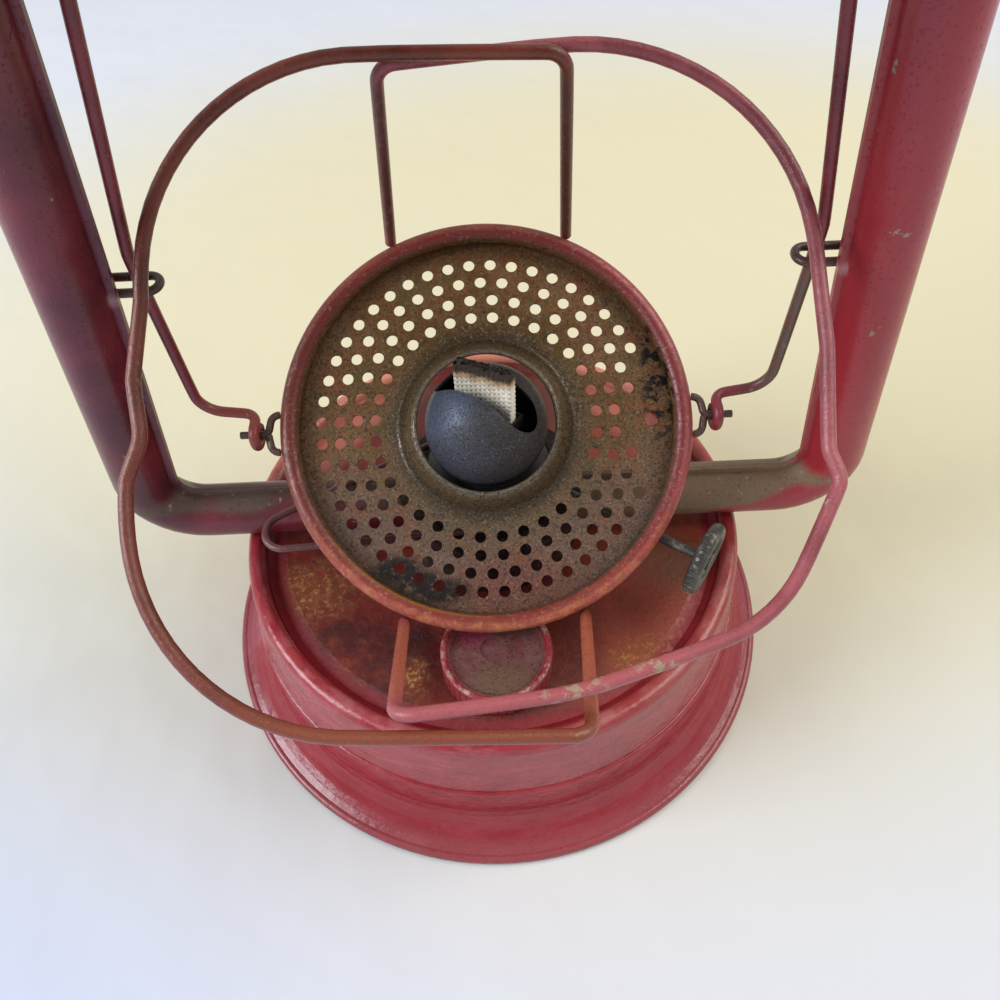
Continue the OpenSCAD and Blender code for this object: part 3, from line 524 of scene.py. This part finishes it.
def sooty_enamel(name, side, paint, shade, film_tone, film_z, film_rise):
    """Enamel under a film whose lower edge is film_z mm high at the plate and rises outwards."""
    # Lamp soot on enamel: the film is dead matt and hides the red, and the clean sides still gleam.
    made, tree, shader, place = start_material(name)
    x, y, z = add(tree, "SeparateXYZ", {0: place}).node.outputs
    cloud = blotches(tree, place, 22, 0.36, 0.66)
    speck = blotches(tree, place, 0.7, 0.58, 0.7, 3.0)
    dust = blotches(tree, place, 1.4, 0.64, 0.7, 4.0)
    out = add(tree, "Math", {0: x, 1: side}, **PRODUCT)
    sunk = add(tree, "Math", {0: out, 1: -film_rise, 2: z}, operation="MULTIPLY_ADD")
    wobble = add(tree, "TexNoise", {"Vector": place, "Scale": 1 / (14 * MM), "Detail": 5.0})
    lifted = add(tree, "Math", {0: wobble, 1: 7 * MM, 2: sunk}, operation="MULTIPLY_ADD")
    start = film_z - film_rise * PLATE_EDGE
    above = add(tree, "MapRange", {0: lifted, 1: start * MM, 2: (start + 2.5) * MM}, **SOFT)
    arm = add(tree, "MapRange", {0: z, 1: 61 * MM, 2: 57.5 * MM}, **SOFT)
    film = add(tree, "Math", {0: above, 1: arm}, **PRODUCT)
    behind = add(tree, "MapRange", {0: y, 1: 0.3 * MM, 2: 1.4 * MM}, **SOFT)
    seam = add(tree, "MapRange", {0: z, 1: 55.6 * MM, 2: 56.6 * MM}, **SOFT)
    bend = spot(tree, place, (side * 80, 0, 58), (16, 20, 22), 0.8)
    solder = spot(tree, place, (side * 69.5, 0.8, 115.5), (6, 2.6, 2.8), 0.6)
    chips = blotches(tree, place, 4, 0.71, 0.73, 6.0)
    colour = coats(tree, paint, [
        ("#a03d43", 0.35, cloud),
        (shade, 0.75, bend),
        (film_tone, 0.9, film),
        ("#a39c82", 0.75, seam, behind, arm),
        ("#2c2018", 0.4, film, speck),
        ("#b7ad98", 0.45, film, dust),
        ("#4a1518", 0.3, speck),
        ("#c8aaa6", 0.7, solder),
        ("#8e8670", 0.9, chips),
    ])
    finish_surface(tree, shader, colour, (film, 0.28, 0.6), (speck, 0.05))
    return made


left_tube_enamel = sooty_enamel(
    "left_tube_enamel", side=-1, paint="#52151f", shade="#3f1a22",
    film_tone="#5c493c", film_z=57.2, film_rise=0.02)
right_tube_enamel = sooty_enamel(
    "right_tube_enamel", side=1, paint="#96272f", shade="#9c2730",
    film_tone="#7a6a4e", film_z=48.0, film_rise=0.35)
print("tubes:", left_tube_enamel.name, right_tube_enamel.name)


# %% [markdown]
# ## Tarnished tin
# The globe plate is tinplate that has sat over a flame. Its tin has gone brown and olive, darkest
# round the collar where soot gathers, mauve-grey on the low side, and its rolled edge still carries
# red paint. Above the collar, behind the dome, the soot is deepened with painted shade, and the
# ring near the rolled edge is darkened a little as painted shade. Rings are easiest to mask by the
# distance from an axis, but the plate is tilted, so a Mapping pair first turns the coordinates into
# its own plane.

# %% Tin under soot
SMEAR = [
    ((-21.0, -31.5, 0), (8.0, 4.5, 20)),
    ((-16.5, -34.5, 0), (8.0, 4.2, 20)),
    ((-11.5, -36.6, 0), (9.0, 4.0, 20)),
]


def tin_coats(tree, flat, y, radius, cloud, grain):
    """Colour of the plate's floor and collar, in the plate's own coordinates."""
    olive = blotches(tree, flat, 9, 0.48, 0.64, 5.0, 0.6)
    speck = blotches(tree, flat, 0.6, 0.52, 0.6, 3.0, 0.7)
    pits = blotches(tree, flat, 0.9, 0.58, 0.63, 4.0, 0.7)
    pitted = blotches(tree, flat, 16, 0.42, 0.6)
    ash = blotches(tree, flat, 0.45, 0.58, 0.68, 2.0)
    soot_and_shade = spot(tree, flat, (3, 19, 0), (26, 9, 20), 0.9)
    rust = blotches(tree, flat, 7, 0.52, 0.68, 5.0, 0.65)
    low = add(tree, "MapRange", {0: y, 1: 4 * MM, 2: -24 * MM}, **SOFT)
    lowest = spot(tree, flat, (6, -38, 0), (26, 12, 20), 0.8)
    collar = add(tree, "MapRange", {0: radius, 1: 21.5 * MM, 2: 19 * MM}, **SOFT)
    foot_in = add(tree, "MapRange", {0: radius, 1: 17.4 * MM, 2: 19.6 * MM}, **SOFT)
    foot_out = add(tree, "MapRange", {0: radius, 1: 23.2 * MM, 2: 20 * MM}, **SOFT)
    lip = add(tree, "MapRange", {0: radius, 1: 16.6 * MM, 2: 16.0 * MM}, **SOFT)
    outer = add(tree, "MapRange", {0: radius, 1: 35 * MM, 2: 41 * MM}, **SOFT)
    smear = 0.0
    for at, size in SMEAR:
        dab = spot(tree, flat, at, size, 0.6)
        smear = add(tree, "Math", {0: smear, 1: dab}, operation="MAXIMUM")
    ragged = blotches(tree, flat, 2.2, 0.37, 0.47, 6.0, 0.72)
    flaked = spot(tree, flat, (39.5, 11, 0), (5.5, 22, 20), 0.5)
    flakes = blotches(tree, flat, 2.6, 0.5, 0.54, 6.0, 0.7)
    near = add(tree, "MapRange", {0: radius, 1: 33 * MM, 2: 20 * MM}, **SOFT)
    return coats(tree, "#7a5229", [
        ("#836241", 0.8, cloud),
        ("#5e5430", 0.6, olive),
        ("#6f584e", 0.8, low),
        ("#7e443c", 0.65, lowest),
        ("#84452a", 0.55, rust),
        ("#5c5130", 0.5, near),
        ("#5f5138", 0.6, collar),
        ("#2b2416", 0.6, foot_in, foot_out),
        # Dark patch above the collar, behind the dome: soot deepened with painted shade.
        ("#1f1812", 0.35, soot_and_shade),
        ("#756c5e", 0.7, lip),
        # Darker ring near the rolled edge: painted shade.
        ("#543e2b", 0.35, outer),
        ("#33261a", 0.45, grain),
        ("#120e0a", 0.55, speck),
        ("#0d0a08", 0.85, pits, pitted),
        ("#a58e76", 0.45, ash),
        ("#14100d", 0.95, smear, ragged),
        ("#0a0807", 0.97, flaked, flakes),
    ])


print("smear of soot in", len(SMEAR), "dabs")

# %% Paint on the rolled edge
def edge_coats(tree, flat, x, y, radius, cloud, grain):
    """Colour of the red paint on the rolled edge: orange at the front, rose on the right."""
    golden = add(tree, "MapRange", {0: radius, 1: 42.9 * MM, 2: 42.2 * MM}, **SOFT)
    lower_left = spot(tree, flat, (-22, -36, 0), (30, 24, 20), 0.6)
    rose = add(tree, "MapRange", {0: x, 1: 8 * MM, 2: 36 * MM}, **SOFT)
    front = add(tree, "MapRange", {0: y, 1: -16 * MM, 2: -36 * MM}, **SOFT)
    worn = blotches(tree, flat, 0.9, 0.56, 0.66, 6.0, 0.7)
    inner = add(tree, "MapRange", {0: radius, 1: 44.4 * MM, 2: 43.4 * MM}, **SOFT)
    painted_gold_glint = blotches(tree, flat, 3, 0.46, 0.62, 6.0, 0.68)
    return coats(tree, "#85402f", [
        ("#6c2e25", 0.8, cloud),
        ("#a0484a", 0.75, rose),
        ("#ac5342", 0.8, front),
        # Gold blotches on the front of the edge are painted highlights.
        ("#c07c4c", 0.5, front, painted_gold_glint),
        ("#6c1f20", 0.7, inner),
        # The gold line on the inner edge at the lower left is wear with a painted highlight on it.
        ("#a8701f", 0.85, golden, lower_left),
        ("#c39a84", 0.35, worn),
        ("#3c1c16", 0.35, grain),
    ])


PLATE_Z, PLATE_TILT = 76.7, math.radians(32.5)
print("plate tilted by", round(math.degrees(PLATE_TILT), 1), "degrees")


# %% Finish of the plate
def sooty_tin(name):
    """Tinplate of the globe plate, laid out round the plate's own axis."""
    # Tin tarnished by heat is half metal and half oxide, so it looks brown, grainy and dull.
    made, tree, shader, place = start_material(name)
    moved = add(tree, "Mapping", {0: place, 1: (0.0, 0.0, -PLATE_Z * MM)})
    flat = add(tree, "Mapping", {0: moved, 2: (-PLATE_TILT, 0.0, 0.0)})
    x, y = add(tree, "SeparateXYZ", {0: flat}).node.outputs[:2]
    disc = add(tree, "CombineXYZ", {0: x, 1: y})
    radius = add(tree, "VectorMath", {0: disc}, out="Value", operation="LENGTH")
    cloud = blotches(tree, flat, 13, 0.36, 0.66)
    grain = blotches(tree, flat, 1.2, 0.44, 0.7, 5.0, 0.7)
    tin = tin_coats(tree, flat, y, radius, cloud, grain)
    paint = edge_coats(tree, flat, x, y, radius, cloud, grain)
    rim = add(tree, "MapRange", {0: radius, 1: 42.0 * MM, 2: 42.5 * MM}, **SOFT)
    colour = coats(tree, tin, [(paint, 1.0, rim)])
    shine = add(tree, "MapRange", {0: rim, 3: 0.3, 4: 0.0})
    tree.links.new(shine, shader.inputs["Metallic"])
    dull = add(tree, "Math", {0: grain, 1: rim}, operation="SUBTRACT")
    finish_surface(tree, shader, colour, (dull, 0.26, 0.55), (grain, 0.045), 0.42)
    return made


plate_tin = sooty_tin("sooty_tinplate")
print("globe plate:", plate_tin.name)


# %% [markdown]
# ## Bare metals and the small stuff
# The burner cone is steel blued by the flame: slate blue on the window side, and brown on the
# other, where the brown is soot with painted shade. The knob and its shaft are dull zinc, rubbed
# pale on the rim. The wick tube and the spur wheels are brass, and the cap's gasket is dark rubber.
# Most of these differ only in tone and gloss, so one recipe makes them, and only the cone gets its
# own.

# %% Bare metals
def worn_metal(name, body, mark, metallic, rough, width=7.0, rubbed=None):
    """Plain metal with clouded marks of a width in mm; rubbed adds a colour in fine patches."""
    # Tarnish on bare metal lies in clouds that change its tone and its gloss together.
    made, tree, shader, place = start_material(name)
    cloud = blotches(tree, place, width, 0.38, 0.66)
    speck = blotches(tree, place, 0.8, 0.58, 0.68, 3.0)
    layers = [(mark, 0.9, cloud)]
    if rubbed:
        layers.append((rubbed, 0.8, blotches(tree, place, 2.2, 0.52, 0.66, 5.0, 0.65)))
    colour = coats(tree, body, layers + [("#1c1a18", 0.6, speck)])
    shader.inputs["Metallic"].default_value = metallic
    finish_surface(tree, shader, colour, (cloud, rough - 0.08, rough + 0.1), (speck, 0.04))
    return made


DOME_AT, DOME_SKIN = (0.0, 0.0, 76.7), 13.35


def blued_cone(name):
    """Flame-blued steel: slate blue at left, brown soot and painted shade at right, black inside.
    """
    # Steel blued by heat has a thin oxide that looks slate blue. On the right the brown is soot
    # with painted shade.
    made, tree, shader, place = start_material(name)
    x, y, z = add(tree, "SeparateXYZ", {0: place}).node.outputs
    cloud = blotches(tree, place, 8, 0.36, 0.66)
    soot_and_shade = add(tree, "MapRange", {0: x, 1: -8 * MM, 2: 6 * MM}, **SOFT)
    speck = blotches(tree, place, 0.5, 0.53, 0.63, 3.0)
    pale = blotches(tree, place, 0.4, 0.58, 0.68, 2.0)
    centre = [c * MM for c in DOME_AT]
    out = add(tree, "VectorMath", {0: place, 1: centre}, out="Value", operation="DISTANCE")
    inside = add(tree, "MapRange", {0: out, 1: DOME_SKIN * MM, 2: (DOME_SKIN - 0.1) * MM})
    above = add(tree, "MapRange", {0: z, 1: 68 * MM, 2: 70 * MM})
    under = add(tree, "MapRange", {0: z, 1: 71 * MM, 2: 67 * MM}, **SOFT)
    lower = add(tree, "MapRange", {0: y, 1: -5 * MM, 2: -11 * MM}, **SOFT)
    colour = coats(tree, "#4a5468", [
        ("#3b3f4b", 0.7, cloud),
        # Brown on the right side: soot with painted shade.
        ("#332a22", 0.9, soot_and_shade),
        ("#3d3634", 0.5, lower),
        ("#15130f", 0.6, speck),
        ("#8a8c90", 0.35, pale),
        ("#0f0d0c", 0.95, under),
        ("#0b0a09", 1.0, inside, above),
    ])
    shader.inputs["Metallic"].default_value = 0.3
    finish_surface(tree, shader, colour, (cloud, 0.42, 0.56), (speck, 0.04))
    return made


blued_steel = blued_cone("flame_blued_steel")
# Zinc plate goes dull grey, and fingers rub it pale.
zinc = worn_metal("dull_zinc_plate", "#4a4943", "#5c564a", 0.5, 0.46, 7.0, "#7d7a70")
# Brass keeps a yellow gleam under brown tarnish.
brass = worn_metal("dull_brass", "#8a6d34", "#6b5530", 0.9, 0.45)
# Under soot, brass is almost black and scatters what light it gets.
sooted_brass = worn_metal("sooted_brass", "#1d1610", "#100c09", 0.3, 0.7)
# Tinplate beside the flame is brown with soot, with warm bare patches.
burner_tin = worn_metal("sooted_burner_tin", "#3a2c24", "#241b15", 0.3, 0.6, 9.0, "#6a4a3c")
# Rubber is dark and matt all over.
gasket_rubber = worn_metal("gasket_rubber", "#2f2620", "#3a2f26", 0.0, 0.8)
metals = (blued_steel, zinc, brass, sooted_brass, burner_tin, gasket_rubber)
print("metals:", [m.name for m in metals])


# %% [markdown]
# ## Dressing the solids
# Each node of the frame keeps its shape and takes one finish, as each real piece was painted,
# plated or left bare before the lantern was put together. The finishes could be set one by one, but
# a table shows at a glance that no piece is left out.

# %% Finish of each solid
finishes = {
    tank_enamel: ["fount_body", "fount_bottom"],
    varnish: ["fount_top"],
    cap_paint: ["filler_cap"],
    hood_enamel: [
        "crown_pan", "crown_lid", "chimney", "hood", "hood_ring", "lift_lever",
        "lever_bracket", "left_bail_lug", "right_bail_lug",
    ],
    left_wire: ["left_guard_wire"],
    right_wire: ["right_guard_wire"],
    rod_wire: ["lift_yoke"],
    rusty_wire: ["left_ear", "right_ear", "left_guide", "right_guide"],
    loop_wire: ["finger_loop"],
    left_tube_enamel: ["left_tube"],
    right_tube_enamel: ["right_tube"],
    plate_tin: ["globe_plate"],
    blued_steel: ["burner_cone"],
    zinc: ["wick_shaft", "wick_knob", "lever_pin", "hold_down_spring", "bail"],
    brass: ["spur_wheels", "burner_collar", "filler_neck"],
    sooted_brass: ["wick_tube"],
    burner_tin: ["air_chamber", "burner_body", "globe_cap", "spring_seat"],
    gasket_rubber: ["cap_gasket"],
}
for finish, names in finishes.items():
    for name in names:
        nodes[name].data.materials.clear()
        nodes[name].data.materials.append(finish)
print("dressed:", sum(len(names) for names in finishes.values()), "of", len(nodes))


# %% [markdown]
# ## Round wires
# The frame's wires and tubes are swept with few sides. Curves with a round bevel could stand in for
# them, but their paths would have to be written out again. So a copy of each is welded into one
# mesh and shown in the solid's place. The wires are subdivided once so that their section comes out
# round, and the edges of their cut ends are creased first, or subdivision would draw them out to
# points. The tubes and the plate are only shaded smooth.

# %% Weld and round a copy
WELD = 0.005 * MM
QUAD_ANGLE, CUT_END_ANGLE = math.radians(60), math.radians(70)
WIRE_SMOOTH, SHELL_SMOOTH = math.radians(50), math.radians(32)


def only(obj):
    """Selects one object and nothing else."""
    bpy.ops.object.select_all(action="DESELECT")
    obj.hide_set(False)
    obj.select_set(True)
    bpy.context.view_layer.objects.active = obj


def rounded(node, name, levels):
    """Welded copy of a swept node, subdivided levels times to a round section; it replaces the
    node.
    """
    body = nodes[node]["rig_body"]
    only(nodes[node])
    bpy.ops.object.duplicate()
    copy = bpy.context.active_object
    copy.name = name
    copy.data.name = name
    del copy["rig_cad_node"]
    bpy.ops.object.mode_set(mode="EDIT")
    bpy.ops.mesh.select_all(action="SELECT")
    bpy.ops.mesh.customdata_custom_splitnormals_clear()
    bpy.ops.mesh.remove_doubles(threshold=WELD)
    bpy.ops.mesh.tris_convert_to_quads(face_threshold=QUAD_ANGLE, shape_threshold=QUAD_ANGLE)
    if levels:
        bpy.ops.mesh.select_mode(type="EDGE")
        bpy.ops.mesh.select_all(action="DESELECT")
        bpy.ops.mesh.edges_select_sharp(sharpness=CUT_END_ANGLE)
        bpy.ops.transform.edge_crease(value=1.0)
    bpy.ops.object.mode_set(mode="OBJECT")
    if levels:
        smooth = copy.modifiers.new("round", "SUBSURF")
        smooth.levels = smooth.render_levels = levels
        bpy.ops.object.modifier_apply(modifier="round")
    bpy.ops.object.shade_smooth_by_angle(angle=WIRE_SMOOTH if levels else SHELL_SMOOTH)
    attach(copy, body)
    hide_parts(node)
    return copy


print("weld distance:", WELD)

# %% The wires, the tubes and the plate
WIRES = {
    "left_guard_wire": "guard_wire_left", "right_guard_wire": "guard_wire_right",
    "lift_yoke": "lift_wire", "left_ear": "plate_ear_left", "right_ear": "plate_ear_right",
    "left_guide": "rod_guide_left", "right_guide": "rod_guide_right", "finger_loop": "wire_loop",
    "hood_ring": "hood_pull", "bail": "bail_wire",
}
for node, name in WIRES.items():
    piece = rounded(node, name, 1)
    print(name, "faces:", len(piece.data.polygons))
SHELLS = {
    "left_tube": "air_tube_left", "right_tube": "air_tube_right", "globe_plate": "plate_pressing",
}
for node, name in SHELLS.items():
    piece = rounded(node, name, 0)
    print(name, "faces:", len(piece.data.polygons))


# %% [markdown]
# ## The crown spring
# The coil in the crown shortens when the hood is pulled up, and a rigid copy would run through the
# seat that pushes it. A second, shorter coil could be shown then, but one coil that gives is closer
# to the real one. Here the coil is welded and rounded like the wires and given a mesh of its own;
# it is not squashed with the joint, so it stays rigid.

# %% The crown spring, welded and rounded
spring = rounded("hold_down_spring", "crown_spring", 1)
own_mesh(spring)


# %% [markdown]
# ## Knitted wick
# A flat cotton wick is knitted: columns of small upright stitches, each leaning a little, lie side
# by side on both faces. A noise pattern would not catch the light like yarn, so one stitch is
# modelled as a few-sided bead, and Array modifiers repeat it along and across the strip. A slanted
# cut with bisect gives the burnt-down top, and a plain strip inside closes the gaps.

# %% Cotton, from cream to char
WICK_TURN = math.radians(-35)
WICK_W, WICK_T = 15.0, 2.6
WICK_TIP, WICK_SLANT = 96.5, 3.5
WICK_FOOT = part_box("wick")[0][2] / MM


def knit_cotton(name):
    """Cream cotton, tan with oil towards the flame, and a ragged charred top edge."""
    # Cotton yarn is soft, matt and warm white, with a little sheen from its loose fibres.
    made, tree, shader, place = start_material(name)
    flat = add(tree, "Mapping", {0: place, 2: (0.0, 0.0, -WICK_TURN)})
    turned = add(tree, "SeparateXYZ", {0: flat}).node.outputs
    level_top = add(tree, "Math", {
        0: turned["X"], 1: -WICK_SLANT / WICK_W, 2: turned["Z"],
    }, operation="MULTIPLY_ADD")
    frayed = add(tree, "TexNoise", {"Vector": flat, "Scale": 1 / (2.2 * MM), "Detail": 4.0})
    height = add(tree, "Math", {0: frayed, 1: 2.4 * MM, 2: level_top}, operation="MULTIPLY_ADD")
    top = WICK_TIP - WICK_SLANT / 2
    tan = add(tree, "MapRange", {0: height, 1: (top - 4.4) * MM, 2: (top - 1.6) * MM}, **SOFT)
    char = add(tree, "MapRange", {0: height, 1: (top - 2.0) * MM, 2: (top - 0.6) * MM}, **SOFT)
    fibre = blotches(tree, flat, 0.5, 0.4, 0.66, 3.0)
    stain = blotches(tree, flat, 4, 0.45, 0.7)
    colour = coats(tree, "#f0e9d8", [
        ("#ddd0b4", 0.6, stain),
        ("#cbbd9f", 0.3, fibre),
        ("#a0763f", 0.85, tan),
        ("#1e130b", 0.95, char),
    ])
    finish_surface(tree, shader, colour, (fibre, 0.8, 0.95), (fibre, 0.06))
    shader.inputs["Sheen Weight"].default_value = 0.05
    return made


cotton = knit_cotton("knitted_cotton")
print("wick:", cotton.name, "foot at", round(WICK_FOOT, 2))

# %% One pair of stitches, arrayed into the knit
PITCH_X, PITCH_Z = 1.18, 1.3
STITCH_T = 1.0
STITCH_OVERLAP = 1.5
STITCH_LEAN = math.radians(16)
PAIRS = 6
KNIT_H = 24.0
ROWS = int(KNIT_H / PITCH_Z) + 2


def knit_face(name, out):
    """One face of the knit, round the Z axis; out is -1 for the front face and 1 for the back."""
    bpy.ops.object.select_all(action="DESELECT")
    bpy.ops.mesh.primitive_uv_sphere_add(segments=6, ring_count=4, radius=0.5 * MM)
    stitch = bpy.context.active_object
    stitch.name = name
    stitch.data.name = name
    bpy.ops.object.mode_set(mode="EDIT")
    bpy.ops.mesh.select_all(action="SELECT")
    bpy.ops.transform.resize(value=(PITCH_X * STITCH_OVERLAP, STITCH_T, PITCH_Z * STITCH_OVERLAP))
    bpy.ops.transform.rotate(
        value=-out * STITCH_LEAN, orient_axis="Y", center_override=(0.0, 0.0, 0.0))
    bpy.ops.mesh.duplicate()
    bpy.ops.transform.translate(value=(PITCH_X * MM, 0.0, PITCH_Z / 2 * MM))
    bpy.ops.mesh.select_all(action="SELECT")
    bpy.ops.transform.translate(value=(
        -(PAIRS - 0.5) * PITCH_X * MM,
        out * (WICK_T - STITCH_T) / 2 * MM,
        (WICK_TIP - KNIT_H) * MM,
    ))
    bpy.ops.object.mode_set(mode="OBJECT")
    for count, step in ((PAIRS, (2 * PITCH_X, 0.0, 0.0)), (ROWS, (0.0, 0.0, PITCH_Z))):
        repeat = stitch.modifiers.new("repeat", "ARRAY")
        repeat.count = count
        repeat.use_relative_offset = False
        repeat.use_constant_offset = True
        repeat.constant_offset_displace = [c * MM for c in step]
        bpy.ops.object.modifier_apply(modifier="repeat")
    return stitch


front_knit = knit_face("wick_knit", -1)
back_knit = knit_face("wick_knit_back", 1)
print("knit:", 2 * PAIRS, "columns,", ROWS, "rows")

# %% The strip inside
CORE_W, CORE_T, CORE_TOP = WICK_W - 0.5, WICK_T - 0.6, WICK_TIP - 0.4
CORE_BEVEL = 0.4

bpy.ops.object.select_all(action="DESELECT")
bpy.ops.mesh.primitive_cube_add(size=1.0 * MM, location=(0.0, 0.0, 0.0))
strip = bpy.context.active_object
strip.name = "wick_strip_core"
bpy.ops.object.mode_set(mode="EDIT")
bpy.ops.mesh.select_all(action="SELECT")
bpy.ops.transform.resize(value=(CORE_W, CORE_T, CORE_TOP - WICK_FOOT))
bpy.ops.transform.translate(value=(0.0, 0.0, (CORE_TOP + WICK_FOOT) / 2 * MM))
bpy.ops.mesh.bevel(offset=CORE_BEVEL * MM, segments=2, affect="EDGES")
bpy.ops.object.mode_set(mode="OBJECT")
print("strip:", round(CORE_W, 2), "by", round(CORE_T, 2), "mm")

# %% The slanted, frayed top and the turn into place
CUT_DROP = 0.15
FRAYED_BAND, FRAY = 0.5 * MM, 0.45
KNIT_SMOOTH = math.radians(60)

only(front_knit)
back_knit.select_set(True)
strip.select_set(True)
bpy.ops.object.join()
wick = bpy.context.active_object
cut_normal = Vector((-WICK_SLANT, 0.0, WICK_W)).normalized()
cut_at = Vector((0.0, 0.0, (WICK_TIP - WICK_SLANT / 2 - CUT_DROP) * MM))
bpy.ops.object.mode_set(mode="EDIT")
bpy.ops.mesh.select_all(action="SELECT")
bpy.ops.mesh.bisect(plane_co=cut_at, plane_no=cut_normal, use_fill=True, clear_outer=True)
bpy.ops.mesh.select_all(action="SELECT")
bpy.ops.mesh.bisect(
    plane_co=(0.0, 0.0, WICK_FOOT * MM), plane_no=(0.0, 0.0, -1.0), use_fill=True, clear_outer=True)
bpy.ops.object.mode_set(mode="OBJECT")
burnt = random.Random(7)
for corner in wick.data.vertices:
    below = (cut_at - corner.co).dot(cut_normal)
    if below < FRAYED_BAND:
        corner.co -= cut_normal * burnt.uniform(0.0, FRAY) * MM
wick.data.transform(Matrix.Rotation(WICK_TURN, 4, "Z"))
wick.data.materials.append(cotton)
bpy.ops.object.shade_smooth_by_angle(angle=KNIT_SMOOTH)
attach(wick, "wick_strip")
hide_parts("wick")
print("wick faces:", len(wick.data.polygons))


# %% [markdown]
# ## The cloth under the lantern
# A plain pale cloth lies under the lantern. Behind it a cream tint is painted warm light, where the
# light of the room falls, and in front on the window side a cooler tint is painted cool window
# light.
# Folds could be modelled, but the cloth is only a stage, so it stays a plane.

# %% Floor
CLOTH_SIZE = 8.0

bpy.ops.object.select_all(action="DESELECT")
bpy.ops.mesh.primitive_plane_add(size=CLOTH_SIZE, location=(0.0, 0.0, 0.0))
floor = bpy.context.active_object
floor.name = "cloth"
# Woven cotton from afar is matt and pale, with broad low creases.
cloth, tree, shader, place = start_material("pale_cloth")
painted_room_light = spot(tree, place, (60, 150, 0), (420, 290, 100), 0.6)
painted_window_light = spot(tree, place, (-190, -200, 0), (260, 190, 100), 0.8)
# Both tints are painted light: warm room light behind, cool window light in front.
colour = coats(tree, "#d0d4dd", [("#d6cfb0", 1.0, painted_room_light), ("#bac7ea", 0.9, painted_window_light)])
crease = blotches(tree, place, 60, 0.3, 0.7, 3.0)
finish_surface(tree, shader, colour, (crease, 0.85, 0.95), (crease, 0.8))
floor.data.materials.append(cloth)
print("floor:", floor.name)
